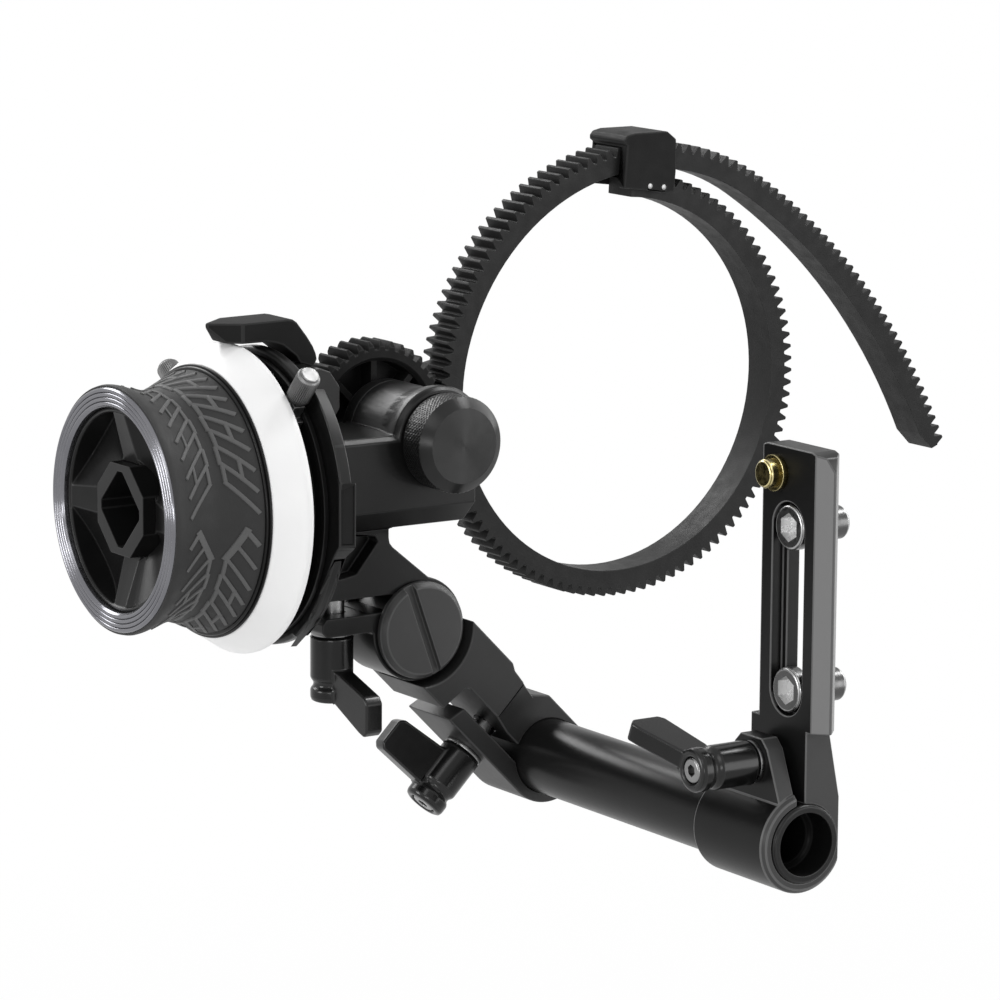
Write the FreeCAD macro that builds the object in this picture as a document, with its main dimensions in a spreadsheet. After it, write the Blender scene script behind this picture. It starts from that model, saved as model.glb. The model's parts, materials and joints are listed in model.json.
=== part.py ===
"""Follow focus unit: handwheel, gearbox, drive gear, lens belt, arm, rod and side plate.

Millimetres.  The origin is the centre of the camera rod's open end.  +X points from the
handwheel towards the camera, +Y runs along the rod, away from the user, and +Z is up.
"""
import FreeCAD, Part
import math
import os
import Sketcher
from FreeCAD import Placement, Rotation, Vector

doc = FreeCAD.newDocument("follow_focus")

# ---------------------------------------------------------------- driving dimensions
SIZES = [
    ("rod_diameter", 15.0),
    ("rod_length", 100.0),
    ("rod_end_bore", 12.0),
    ("rod_tube_bore", 10.4),
    ("clamp_wall", 2.1),
    ("clamp_slit", 1.8),
    ("plate_thickness", 5.4),
    ("plate_front", -0.7),
    ("plate_back", 15.3),
    ("plate_top", 73.6),
    ("rail_bottom", 21.0),
    ("rail_depth", 2.45),
    ("slot_y", 7.25),
    ("slot_bottom", 27.9),
    ("slot_top", 58.6),
    ("slot_recess_width", 9.6),
    ("slot_recess_depth", 2.6),
    ("slot_width", 6.8),
    ("screw_diameter", 6.35),
    ("screw_head_diameter", 8.6),
    ("screw_length", 12.2),
    ("pin_y", 10.9),
    ("pin_z", 68.4),
    ("barrel_front", 0.7),
    ("barrel_back", 23.0),
    ("arm_front", 85.0),
    ("arm_back", 100.0),
    ("arm_block_front", 81.8),
    ("arm_web_front", 97.6),
    ("arm_reach", 42.85),
    ("stub_side", -1.4),
    ("arm_jaw_side", -9.6),
    ("arm_flat_side", 8.9),
    ("arm_block_side", 7.1),
    ("stub_diameter", 15.0),
    ("box_front", 80.0),
    ("box_back", 98.0),
    ("box_top", 68.7),
    ("box_bottom", 50.0),
    ("box_right", -21.0),
    ("box_chamfer", 4.2),
    ("clamp_front", 84.3),
    ("clamp_back", 97.0),
    ("wheel_y", 89.0),
    ("wheel_z", 58.27),
    ("hub_face", -95.0),
    ("hub_width", 17.4),
    ("rib_foot", -92.3),
    ("flange_front", -65.5),
    ("flange_thickness", 3.0),
    ("flange_diameter", 57.4),
    ("module_drive", 0.8),
    ("module_train", 0.6),
    ("gear_x", -29.0),
    ("gear_z", 67.0),
    ("gear_teeth", 39),
    ("gear_front", 103.0),
    ("gear_width", 8.0),
    ("belt_teeth", 107),
    ("belt_z", 70.0),
    ("belt_thickness", 3.5),
    ("buckle_cheek", 2.3),
    ("mesh_gap", 0.08),
    ("output_teeth", 22),
    ("cross_teeth", 18),
    ("bevel_teeth", 16),
    ("shaft_diameter", 5.0),
    ("knob_diameter", 18.9),
    ("knob_front", 71.9),
    ("knob_back", 79.6),
    ("stop_x", -68.1),
    ("stop_radius", 30.0),
    ("stop_head", 7.0),
    ("stop_diameter", 4.6),
]
sheet = doc.addObject("Spreadsheet::Sheet", "size")
for row, (alias, number) in enumerate(SIZES, start=1):
    sheet.set(f"A{row}", alias)
    sheet.set(f"B{row}", str(number))
    sheet.setAlias(f"B{row}", alias)
doc.recompute()

TURNS = {
    "X": Rotation(Vector(0, 1, 0), 90),
    "-X": Rotation(Vector(0, 1, 0), -90),
    "Y": Rotation(Vector(1, 0, 0), -90),
    "-Y": Rotation(Vector(1, 0, 0), 90),
    "Z": Rotation(),
}
NODES = []


def value(expression):
    """The number that an expression of the sheet gives."""
    return float(sheet.evalExpression(str(expression)))


def point(*expressions):
    return Vector(*[value(one) for one in expressions])


def seat(item, at=(0, 0, 0), turn="Z"):
    """Turn an item and bind its place to the sheet."""
    rotation = TURNS[turn] if isinstance(turn, str) else turn
    item.Placement = Placement(point(*at), rotation)
    for letter, expression in zip("xyz", at):
        item.setExpression(f"Placement.Base.{letter}", str(expression))
    return item


def primitive(kind, name, at, turn, **sizes):
    item = doc.addObject("Part::" + kind, name)
    for size_name, expression in sizes.items():
        item.setExpression(size_name, str(expression))
    return seat(item, at, turn)


def cylinder(name, diameter, length, at=(0, 0, 0), turn="Z"):
    return primitive("Cylinder", name, at, turn, Radius=f"({diameter}) / 2", Height=length)


def box(name, size, at=(0, 0, 0), turn="Z"):
    return primitive("Box", name, at, turn, Length=size[0], Width=size[1], Height=size[2])


def cut(name, base, *tools):
    tool = tools[0]
    if len(tools) > 1:
        tool = doc.addObject("Part::MultiFuse", name + "_tools")
        tool.Shapes = list(tools)
    item = doc.addObject("Part::Cut", name)
    item.Base = base
    item.Tool = tool
    item.Refine = True
    return item


def fuse(name, *pieces):
    item = doc.addObject("Part::MultiFuse", name)
    item.Shapes = list(pieces)
    item.Refine = True
    return item


def common(name, *pieces):
    item = doc.addObject("Part::MultiCommon", name)
    item.Shapes = list(pieces)
    return item


def origin_plane(body, role):
    return next(one for one in body.Origin.OriginFeatures if one.Role == role)


def sketch_outline(body, name, role, corners):
    """A closed outline of straight lines, each corner dimensioned from the origin."""
    sketch = body.newObject("Sketcher::SketchObject", name)
    sketch.AttachmentSupport = [(origin_plane(body, role), "")]
    sketch.MapMode = "FlatFace"
    spots = [point(across, up, 0) for across, up in corners]
    for index, spot in enumerate(spots):
        sketch.addGeometry(Part.LineSegment(spot, spots[(index + 1) % len(spots)]), False)
    for index in range(len(spots)):
        following = (index + 1) % len(spots)
        sketch.addConstraint(Sketcher.Constraint("Coincident", index, 2, following, 1))
    for index, (corner, spot) in enumerate(zip(corners, spots)):
        for kind, expression, number in zip(("DistanceX", "DistanceY"), corner, spot):
            place = sketch.addConstraint(Sketcher.Constraint(kind, -1, 1, index, 1, number))
            sketch.setExpression(f"Constraints[{place}]", str(expression))
    return sketch


def extruded(name, outline, length, at=(0, 0, 0), turn="Z"):
    """A PartDesign body padded from an outline in its own XY plane."""
    body = doc.addObject("PartDesign::Body", name)
    sketch = sketch_outline(body, name + "_outline", "XY_Plane", outline)
    pad = body.newObject("PartDesign::Pad", name + "_pad")
    pad.Profile = sketch
    pad.setExpression("Length", str(length))
    return seat(body, at, turn)


def side_view(name, outline, front, back):
    """A body drawn in the XZ plane, reaching from front to back along Y."""
    body = doc.addObject("PartDesign::Body", name)
    sketch = sketch_outline(body, name + "_outline", "XZ_Plane", outline)
    pad = body.newObject("PartDesign::Pad", name + "_pad")
    pad.Profile = sketch
    pad.Reversed = True
    pad.setExpression("Length", f"({back}) - ({front})")
    return seat(body, (0, front, 0))


def turned(name, profile, at=(0, 0, 0), turn="Z"):
    """A PartDesign body revolved about its own Z from (radius, height) corners."""
    body = doc.addObject("PartDesign::Body", name)
    sketch = sketch_outline(body, name + "_profile", "XZ_Plane", profile)
    revolution = body.newObject("PartDesign::Revolution", name + "_turn")
    revolution.Profile = sketch
    revolution.ReferenceAxis = (sketch, ["V_Axis"])
    revolution.Angle = 360
    return seat(body, at, turn)


def prism(name, sides, across_flats, length, at=(0, 0, 0), turn="Z"):
    """A regular prism, such as a hexagon socket, by its width across flats."""
    radius = f"({across_flats}) / 2 / cos(180 deg / {sides})"
    item = doc.addObject("Part::Prism", name)
    item.Polygon = sides
    item.setExpression("Circumradius", radius)
    item.setExpression("Height", str(length))
    return seat(item, at, turn)


def node(label, item):
    """Name a finished sub-part; the label is also its file's name."""
    item.Label = label
    NODES.append(item)
    return item


def feature(name, shape, at=(0, 0, 0), turn="Z"):
    item = doc.addObject("Part::Feature", name)
    item.Shape = shape
    return seat(item, at, turn)


# ---------------------------------------------------------------- gear teeth
PRESSURE_ANGLE = math.radians(20)
BACKLASH = 0.07


def involute_half_angle(teeth, module, radius):
    """Half the angle that a tooth fills at a radius."""
    pitch = module * teeth / 2
    base = pitch * math.cos(PRESSURE_ANGLE)
    half_at_pitch = math.pi / (2 * teeth) - BACKLASH / (2 * pitch)
    at_pitch = math.tan(PRESSURE_ANGLE) - PRESSURE_ANGLE
    if radius <= base:
        return half_at_pitch + at_pitch
    slope = math.acos(base / radius)
    return half_at_pitch + at_pitch - (math.tan(slope) - slope)


def gear_face(teeth, module, addendum=1.0, dedendum=1.25, phase=0.0):
    """The flat outline of a spur gear; phase is where tooth 0 is centred, in radians."""
    pitch = module * teeth / 2
    root = pitch - dedendum * module
    tip = pitch + addendum * module
    radii = [root, pitch, tip]
    corners = []
    for index in range(teeth):
        middle = phase + index * 2 * math.pi / teeth
        halves = [involute_half_angle(teeth, module, radius) for radius in radii]
        flank = [(radius, middle - half) for radius, half in zip(radii, halves)]
        flank += [(radius, middle + half) for radius, half in zip(radii[::-1], halves[::-1])]
        corners += [Vector(r * math.cos(a), r * math.sin(a), 0) for r, a in flank]
    return Part.Face(Part.makePolygon(corners + corners[:1]))


def spur_gear(name, teeth, module, width, bore, phase=0.0):
    solid = gear_face(teeth, module, phase=phase).extrude(Vector(0, 0, width))
    return solid.cut(Part.makeCylinder(bore / 2, width))


# ---------------------------------------------------------------- side plate and rod
def make_side_plate():
    """Rail with a screw slot, and the split clamp that grips the rod."""
    tip = "size.plate_thickness / 2 - 0.25"
    other_tip = "size.plate_thickness / 2 + 0.25"
    rail = extruded("rail", [
        ("0", "size.plate_front"),
        (tip, "size.plate_front - size.rail_depth"),
        (other_tip, "size.plate_front - size.rail_depth"),
        ("size.plate_thickness", "size.plate_front"),
        ("size.plate_thickness", "size.plate_back"),
        (other_tip, "size.plate_back + size.rail_depth"),
        (tip, "size.plate_back + size.rail_depth"),
        ("0", "size.plate_back"),
    ], "size.plate_top - size.rail_bottom", (0, 0, "size.rail_bottom"))
    top = extruded("rail_top", [
        ("size.plate_front - size.rail_depth", "0"),
        ("size.plate_back + size.rail_depth", "0"),
        ("size.plate_back + size.rail_depth", "size.plate_top - 3.5"),
        ("size.plate_back + size.rail_depth - 1.1", "size.plate_top - 0.9"),
        ("size.plate_back + size.rail_depth - 3.6", "size.plate_top"),
        ("size.plate_front - size.rail_depth + 3.6", "size.plate_top"),
        ("size.plate_front - size.rail_depth + 1.1", "size.plate_top - 0.9"),
        ("size.plate_front - size.rail_depth", "size.plate_top - 3.5"),
    ], "size.plate_thickness + 2", (-1, 0, 0), Rotation(Vector(1, 1, 1), 120))
    blade = common("plate_blade", rail, top)
    foot = side_view("plate_foot", [
        ("0", "size.rail_bottom + 1"),
        ("0", "0"),
        ("8", "0"),
        ("8", "8"),
        ("size.plate_thickness", "size.rail_bottom"),
        ("size.plate_thickness", "size.rail_bottom + 1"),
    ], "size.barrel_front", "size.plate_back + size.rail_depth")
    barrel = turned("clamp_barrel", [
        ("0", "0"),
        ("size.rod_diameter / 2 + size.clamp_wall - 0.8", "0"),
        ("size.rod_diameter / 2 + size.clamp_wall", "0.8"),
        ("size.rod_diameter / 2 + size.clamp_wall", "size.barrel_back - size.barrel_front - 0.6"),
        ("size.rod_diameter / 2 + size.clamp_wall - 0.6", "size.barrel_back - size.barrel_front"),
        ("0", "size.barrel_back - size.barrel_front"),
    ], (0, "size.barrel_front", 0), "Y")
    ear = extruded("clamp_ear", [
        ("1.5", "0"),
        ("1.5", "8.5"),
        ("5.3", "17.6"),
        ("7.1", "19.4"),
        ("13.6", "19.4"),
        ("15.4", "17.6"),
        ("19.2", "8.5"),
        ("19.2", "0"),
    ], "5.5", ("-5.5", 0, 0), Rotation(Vector(1, 1, 1), 120))
    ear_side = box("ear_side", (12, 30, 40), ("8", "0", "-20"))
    body = fuse("plate_solid", blade, foot, barrel, ear)
    slit = box("clamp_slit_cut", ("size.clamp_slit", 40, 23),
               ("-size.clamp_slit", -5, "size.rod_diameter / 2 - 1"))
    bore = cylinder("clamp_bore_cut", "size.rod_diameter + 0.04", 40, (0, -5, 0), "Y")
    stud_hole = cylinder("plate_lever_thread", 5, "size.plate_thickness + 1", (-0.5, 10, 14.5), "X")
    ear_hole = cylinder("plate_lever_clearance", 5.3, 8, (-8, 10, 14.5), "X")
    length = "size.slot_top - size.slot_bottom"
    cuts = [slit, bore, stud_hole, ear_hole, ear_side]
    for name, width, depth, start in (
            ("slot_through", "size.slot_width", "size.plate_thickness + 2", "-1"),
            ("slot_recess", "size.slot_recess_width", "size.slot_recess_depth + 1", "-1")):
        cuts.append(box(name, (depth, width, length),
                        (start, f"size.slot_y - ({width}) / 2", "size.slot_bottom")))
        for end in ("bottom", "top"):
            cuts.append(cylinder(f"{name}_{end}", width, depth,
                                 (start, "size.slot_y", f"size.slot_{end}"), "X"))
    cuts.append(cylinder("pin_hole", 4.1, "size.plate_thickness + 2", (-1, "size.pin_y", "size.pin_z"), "X"))
    cuts.append(cylinder("pin_pocket", 5.6, 4.4, (-1, "size.pin_y", "size.pin_z"), "X"))
    return node("side_plate", cut("side_plate_solid", body, *cuts))


def make_plate_screw(place, height):
    """A 1/4 inch mounting screw, and the nylon collar that slides with it in the slot."""
    head = turned(f"head_{place}", [
        ("0", "0"),
        ("size.screw_head_diameter / 2 - 0.4", "0"),
        ("size.screw_head_diameter / 2", "0.4"),
        ("size.screw_head_diameter / 2", "2.5"),
        ("size.screw_diameter / 2 - 0.5", "2.5"),
        ("size.screw_diameter / 2 - 0.5", "6"),
        ("size.screw_diameter / 2", "6.6"),
        ("size.screw_diameter / 2", "size.screw_length - 0.6"),
        ("size.screw_diameter / 2 - 0.6", "size.screw_length"),
        ("0", "size.screw_length"),
    ], (0.05, "size.slot_y", height), "X")
    socket = prism(f"socket_{place}", 6, 4.76, 2.2, (-0.2, "size.slot_y", height), "X")
    node(f"plate_screw_{place}", cut(f"plate_screw_{place}_solid", head, socket))
    collar = turned(f"collar_{place}", [
        ("size.screw_diameter / 2 - 0.45", "0"),
        ("size.slot_width / 2 - 0.05", "0"),
        ("size.slot_width / 2 - 0.05", "2"),
        ("size.screw_diameter / 2 - 0.45", "2"),
    ], (2.9, "size.slot_y", height), "X")
    node(f"screw_collar_{place}", collar)


def make_safety_pin():
    """Sprung pin that stops the plate from sliding off its rail."""
    pin = turned("pin_turn", [
        ("0", "0"),
        ("2.3", "0"),
        ("2.7", "0.4"),
        ("2.7", "3.6"),
        ("2.2", "3.6"),
        ("2.2", "5.2"),
        ("1.95", "5.2"),
        ("1.95", "12"),
        ("1.4", "12.6"),
        ("0", "12.6"),
    ], ("-4.8", "size.pin_y", "size.pin_z"), "X")
    node("safety_pin", pin)
    collar = turned("pin_collar", [
        ("2.25", "0"),
        ("3.4", "0"),
        ("3.4", "1.2"),
        ("2.75", "1.2"),
        ("2.75", "2.2"),
        ("2.25", "2.2"),
    ], ("-1.2", "size.pin_y", "size.pin_z"), "X")
    node("pin_collar", collar)


def make_rod():
    """Tube with a stepped bore at both ends, for a threaded extension."""
    half = "size.rod_diameter / 2"
    rod = turned("rod_turn", [
        ("size.rod_end_bore / 2", "0"),
        (f"{half} - 0.4", "0"),
        (half, "0.4"),
        (half, "size.rod_length - 0.4"),
        (f"{half} - 0.4", "size.rod_length"),
        ("size.rod_end_bore / 2", "size.rod_length"),
        ("size.rod_end_bore / 2", "size.rod_length - 6"),
        ("size.rod_tube_bore / 2", "size.rod_length - 7"),
        ("size.rod_tube_bore / 2", "7"),
        ("size.rod_end_bore / 2", "6"),
    ], (0, 0, 0), "Y")
    node("rod", rod)


# ---------------------------------------------------------------- arm
ARM_TURN = Rotation(Vector(0, 1, 0), 45)


def arm_spot(reach, depth, side):
    """World place of a spot given along the arm, along the rod and across the arm."""
    along = f"(-({reach}) + ({side})) * sqrt(2) / 2"
    up = f"(({reach}) + ({side})) * sqrt(2) / 2"
    return along, depth, up


def stub_spot(depth):
    """A spot on the stub's axis, which is also the gearbox clamp's."""
    return arm_spot("size.arm_reach", depth, "size.stub_side")


def arm_view(name, outline, front, back):
    """A body drawn in the arm's own side view: (reach from the rod, height across)."""
    body = side_view(name, [(f"-({reach})", side) for reach, side in outline], front, back)
    return seat(body, (0, front, 0), ARM_TURN)


def make_arm():
    jaw = "size.arm_jaw_side"
    block = arm_view("arm_block", [
        ("24", jaw), ("24", "-2.9"), ("17", "-2.9"), ("17", "size.arm_block_side - 1.2"),
        ("20.5", "size.arm_block_side - 0.8"), ("22", "size.arm_block_side"),
        ("size.arm_reach", "size.arm_block_side"), ("size.arm_reach", jaw),
    ], "size.arm_block_front", "size.arm_back")
    drop = "size.arm_front - size.arm_block_front"
    slope = extruded("arm_slope", [
        ("-17.5", "0"), ("-10.4", f"{drop} + 0.3"), ("-17.5", f"{drop} + 0.3"),
    ], "size.arm_block_side + 1.7", arm_spot("0", "size.arm_block_front", "-2.9"), ARM_TURN)
    clamp = arm_view("arm_clamp", [
        ("0", jaw), ("24", jaw), ("24", "size.arm_block_side - 1.2"),
        ("12.5", "size.arm_block_side - 1.2"), ("8.4", "size.arm_flat_side"),
        ("0", "size.arm_flat_side"),
    ], "size.arm_front", "size.arm_back")
    round_end = cylinder("arm_clamp_round", "-size.arm_jaw_side * 2",
                         "size.arm_back - size.arm_front", (0, "size.arm_front", 0), "Y")
    web_end = cylinder("arm_web_round", "size.arm_block_side * 2 + 4",
                       "size.arm_back - size.arm_web_front",
                       stub_spot("size.arm_web_front"), "Y")
    body = fuse("arm_solid", block, slope, clamp, round_end, web_end)
    bore = cylinder("arm_bore_cut", "size.rod_diameter + 0.04", 40, (0, 70, 0), "Y")
    pocket = cylinder("arm_pocket_cut", 22.4, "size.arm_web_front - 70",
                      stub_spot(70), "Y")
    past = arm_view("arm_past_pocket", [
        ("size.arm_reach", -20), ("size.arm_reach", 20),
        ("size.arm_reach + 20", 20), ("size.arm_reach + 20", -20),
    ], 70, "size.arm_web_front")
    slit = arm_view("arm_slit_cut", [
        ("4", "-5.7"), ("22.6", "-5.7"), ("24.6", "-12"), ("29", "-12"),
        ("27.2", "-3.4"), ("26.4", "-2.9"), ("4", "-2.9"),
    ], 70, 110)
    top_flat = arm_view("arm_top_cut", [
        ("-20", "size.arm_flat_side"), ("10", "size.arm_flat_side"), ("10", "20"), ("-20", "20"),
    ], 70, 110)
    stub_hole = cylinder("arm_stub_hole", 9, 20, stub_spot(90), "Y")
    lever_hole = cylinder("arm_lever_clearance", 5.3, 8, arm_spot("12.1", 92, "-13"),
                          Rotation(Vector(0, 1, 0), 45))
    lever_thread = cylinder("arm_lever_thread", 5, 9.5, arm_spot("12.1", 92, "-5.2"),
                            Rotation(Vector(0, 1, 0), 45))
    node("arm", cut("arm_finished", body, bore, pocket, past, slit, top_flat, stub_hole,
                    lever_hole, lever_thread))


def make_stub():
    """15 mm stub that the gearbox clamp grips, and the slotted screw that retains it."""
    half = "size.stub_diameter / 2"
    start = "size.arm_web_front - 13.4"
    stub = turned("stub_turn", [
        ("2.6", "0"), (f"{half} - 0.4", "0"), (half, "0.4"), (half, "13.4"),
        ("4.45", "13.4"), ("4.45", "15.8"), ("2.6", "15.8"),
    ], stub_spot(start), "Y")
    node("arm_stub", stub)
    screw = turned("pivot_turn", [
        ("0", "0"), ("8.6", "0"), ("9.6", "1"), ("9.6", "2.2"),
        ("2.5", "2.2"), ("2.5", "14"), ("0", "14"),
    ], stub_spot(f"{start} - 2.2"), "Y")
    turn = Rotation(Vector(0, 1, 0), 70)
    corner = turn.multVec(Vector(-12, -1, -0.95))
    across, depth, up = stub_spot(f"{start} - 2.2")
    slot = box("pivot_slot", (24, 2.2, 1.9), (f"{across} + {corner.x:.4f}",
               f"{depth} + {corner.y:.4f}", f"{up} + {corner.z:.4f}"), turn)
    node("pivot_screw", cut("pivot_screw_solid", screw, slot))


# ---------------------------------------------------------------- gearbox
CROSS_X = ("(size.gear_x - sqrt((size.module_train * (size.output_teeth + size.cross_teeth) / 2"
           " + size.mesh_gap)^2 - (size.gear_z - size.wheel_z)^2))")
FLANGE_BACK = "(size.flange_front + size.flange_thickness)"
WHEEL_AXIS = (0, "size.wheel_y", "size.wheel_z")
GEAR_AXIS = ("size.gear_x", 0, "size.gear_z")
CROSS_AXIS = (CROSS_X, 0, "size.wheel_z")
END_VIEW = Rotation(Vector(1, 1, 1), 120)


def end_view(name, outline, left, right):
    """A body drawn in the YZ plane, reaching from left to right along X."""
    return extruded(name, outline, f"({right}) - ({left})", (left, 0, 0), END_VIEW)


def on_axis(axis, depth):
    return axis[0], depth, axis[2]


def make_gearbox():
    """Flange, gear case, bearing barrel, stub clamp and gusset, cast in one piece."""
    case = end_view("gear_case", [
        ("size.box_front", "size.box_bottom + size.box_chamfer"),
        ("size.box_front + size.box_chamfer", "size.box_bottom"),
        ("size.box_back", "size.box_bottom"),
        ("size.box_back", "size.box_top"),
        ("size.box_front + 1", "size.box_top"),
        ("size.box_front", "size.box_top - 1"),
    ], FLANGE_BACK + " - 1", "size.box_right")
    barrel = turned("bearing_barrel", [
        ("0", "size.box_front"),
        ("9.6", "size.box_front"),
        ("10.5", "size.box_front + 0.9"),
        ("10.5", "size.box_front + 2.4"),
        ("9.3", "size.box_front + 8"),
        ("9.3", "size.box_back"),
        ("0", "size.box_back"),
    ], GEAR_AXIS, "Y")
    flange = turned("wheel_flange", [
        ("0", "size.flange_front"),
        ("size.flange_diameter / 2 - 0.5", "size.flange_front"),
        ("size.flange_diameter / 2", "size.flange_front + 0.5"),
        ("size.flange_diameter / 2", FLANGE_BACK + " - 0.8"),
        ("size.flange_diameter / 2 - 0.8", FLANGE_BACK),
        ("0", FLANGE_BACK),
    ], WHEEL_AXIS, "X")
    lug = end_view("flange_lug", [
        ("80", "82"), ("69", "80.6"), ("62.3", "74.9"), ("58.9", "72.7"), ("55.9", "65.8"),
        ("55.5", "64.8"), ("55.5", "53"), ("56.4", "52.2"), ("60.7", "50.6"),
        ("65.2", "43.1"), ("69.7", "37.1"), ("74.3", "33.2"), ("84", "36"),
    ], "size.flange_front", FLANGE_BACK)
    bridge = side_view("pointer_block", [
        (FLANGE_BACK + " - 1", "83.6"), ("-57.9", "83.6"), ("-55.7", "82.8"), ("-53.6", "79.8"),
        ("-53.6", "75.6"), ("-55.1", "73.4"), ("-57.4", "70.4"), ("-57.4", "size.box_top - 4"),
        (FLANGE_BACK + " - 1", "size.box_top - 4"),
    ], "77.5", "size.box_back")
    ring = cylinder("stub_clamp_ring", 20.6, "size.clamp_back - size.clamp_front",
                    stub_spot("size.clamp_front"), "Y")
    gusset = side_view("gusset", [
        (FLANGE_BACK + " - 1", "size.box_bottom + 3"), ("-38.1", "size.box_bottom + 3"),
        ("-38.1", "48"), ("-37.9", "47"), ("-37.2", "46.1"), ("-24.8", "36"), ("-24", "30"),
        ("-32", "30"), ("-52.4", "36.8"), ("-54", "37.3"), (FLANGE_BACK + " - 1", "43"),
    ], "size.clamp_front", "size.clamp_back")
    ear = side_view("stub_clamp_ear", [
        ("-53.2", "30.7"), ("-52.2", "29.7"), ("-42", "29.7"), ("-36", "25"), ("-31", "25"),
        ("-31", "33.4"), ("-52.2", "33.4"), ("-53.2", "32.4"),
    ], "size.clamp_front", "size.clamp_back")
    body = fuse("gearbox_solid", case, barrel, flange, lug, bridge, ring, gusset, ear)
    cuts = [
        cylinder("stub_bore_cut", "size.stub_diameter + 0.04", 30, stub_spot(75), "Y"),
        box("stub_slit_cut", (26, 30, 3.3), ("-57", 75, "33.45")),
        cylinder("stub_lever_clearance", 5.3, 6, (-47, 91, 28), "Z"),
        cylinder("stub_lever_thread", 5, 11, (-47, 91, 33.5), "Z"),
        side_view("gusset_pocket", [
            ("-50.2", "49.6"), ("-41.2", "48.6"), ("-40.6", "47.6"), ("-45.6", "41.6"),
            ("-49.4", "41"), ("-50.6", "42"),
        ], "size.clamp_front - 1", "size.clamp_front + 3.2"),
        cylinder("cross_cavity", 13.2, "size.box_back - 83", on_axis(CROSS_AXIS, 83), "Y"),
        cylinder("cross_bush_pocket", 7, 3, on_axis(CROSS_AXIS, 81), "Y"),
        cylinder("output_cavity", 15.6, 4, on_axis(GEAR_AXIS, "size.box_back - 3.7"), "Y"),
        cylinder("output_bore", "size.shaft_diameter + 0.6", 30, on_axis(GEAR_AXIS, 75), "Y"),
        cylinder("output_bush_pocket", 9, 5, on_axis(GEAR_AXIS, "size.box_front - 1"), "Y"),
        cylinder("bevel_cavity", 11.8, 9.4, (CROSS_X + " - 9.4", *WHEEL_AXIS[1:]), "X"),
        cylinder("wheel_bore", "size.shaft_diameter + 0.6", 30, (-70, *WHEEL_AXIS[1:]), "X"),
        cylinder("wheel_bush_pocket", 9, 5, ("size.flange_front - 1", *WHEEL_AXIS[1:]), "X"),
    ]
    cuts += [cylinder(f"cover_thread_{number}", 2, 6, (across, "size.box_back - 6", up), "Y")
             for number, (across, up) in enumerate(COVER_SCREWS)]
    node("gearbox_housing", cut("gearbox_finished", body, *cuts))


COVER_SCREWS = [("-45.6", "62"), ("-37.3", "51.3"), ("-22.6", "57.6")]
COVER_THICKNESS = 3.6


def make_rear_cover():
    plate = side_view("cover_plate", [
        ("-48.4", "51.5"), ("-46.9", "size.box_bottom + 0.6"), ("-23", "size.box_bottom + 0.6"),
        ("-21.4", "52.2"), ("-21.4", "66"), ("-29", "size.box_top - 0.2"),
        ("-46.9", "size.box_top - 0.2"), ("-48.4", "size.box_top - 1.7"),
    ], "size.box_back", "size.box_back + 2")
    barrel = turned("cover_barrel", [
        ("0", "size.box_back"), ("9.3", "size.box_back"),
        ("9.3", f"size.box_back + {COVER_THICKNESS} - 0.4"),
        ("8.9", f"size.box_back + {COVER_THICKNESS}"),
        ("0", f"size.box_back + {COVER_THICKNESS}"),
    ], GEAR_AXIS, "Y")
    cuts = [
        cylinder("cover_output_bush", 9, 10, on_axis(GEAR_AXIS, "size.box_back - 1"), "Y"),
        cylinder("cover_cross_bush", 7, 2.4, on_axis(CROSS_AXIS, "size.box_back - 1"), "Y"),
    ]
    for number, (across, up) in enumerate(COVER_SCREWS):
        cuts.append(cylinder(f"cover_hole_{number}", 2.2, 10, (across, "size.box_back - 1", up), "Y"))
        cuts.append(cylinder(f"cover_head_{number}", 4, 4, (across, "size.box_back + 0.8", up), "Y"))
    body = fuse("cover_solid", plate, barrel)
    node("rear_cover", cut("cover_finished", body, *cuts))
    screws = []
    for number, (across, up) in enumerate(COVER_SCREWS):
        shape = turned(f"cover_screw_{number}", [
            ("0", "-4.4"), ("0.95", "-4.4"), ("0.95", "0.8"), ("1.85", "0.8"),
            ("1.85", "1.7"), ("1.6", "1.95"), ("0", "1.95"),
        ], (across, "size.box_back", up), "Y")
        hexagon = prism(f"cover_screw_hex_{number}", 6, 1.3, 2, (across, "size.box_back + 1", up), "Y")
        screws.append(cut(f"cover_screw_cut_{number}", shape, hexagon))
    group = doc.addObject("Part::Compound", "cover_screw_group")
    group.Links = screws
    node("cover_screws", group)


def make_bush(label, outer, start, end, axis, turn):
    inner = "size.shaft_diameter / 2 + 0.03"
    node(label, turned(label + "_turn", [
        (inner, start), (f"{outer} / 2", start), (f"{outer} / 2", end), (inner, end),
    ], axis, turn))


def make_bushes():
    make_bush("wheel_bush", 9, "size.flange_front", "size.flange_front + 4", WHEEL_AXIS, "X")
    make_bush("output_bush_front", 9, "size.box_front + 0.4", "size.box_front + 4", GEAR_AXIS, "Y")
    make_bush("output_bush_rear", 9, "size.box_back + 0.1", f"size.box_back + {COVER_THICKNESS}",
              GEAR_AXIS, "Y")
    make_bush("cross_bush_front", 7, "81", "83", CROSS_AXIS, "Y")
    make_bush("cross_bush_rear", 7, "size.box_back", "size.box_back + 1.4", CROSS_AXIS, "Y")


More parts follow.
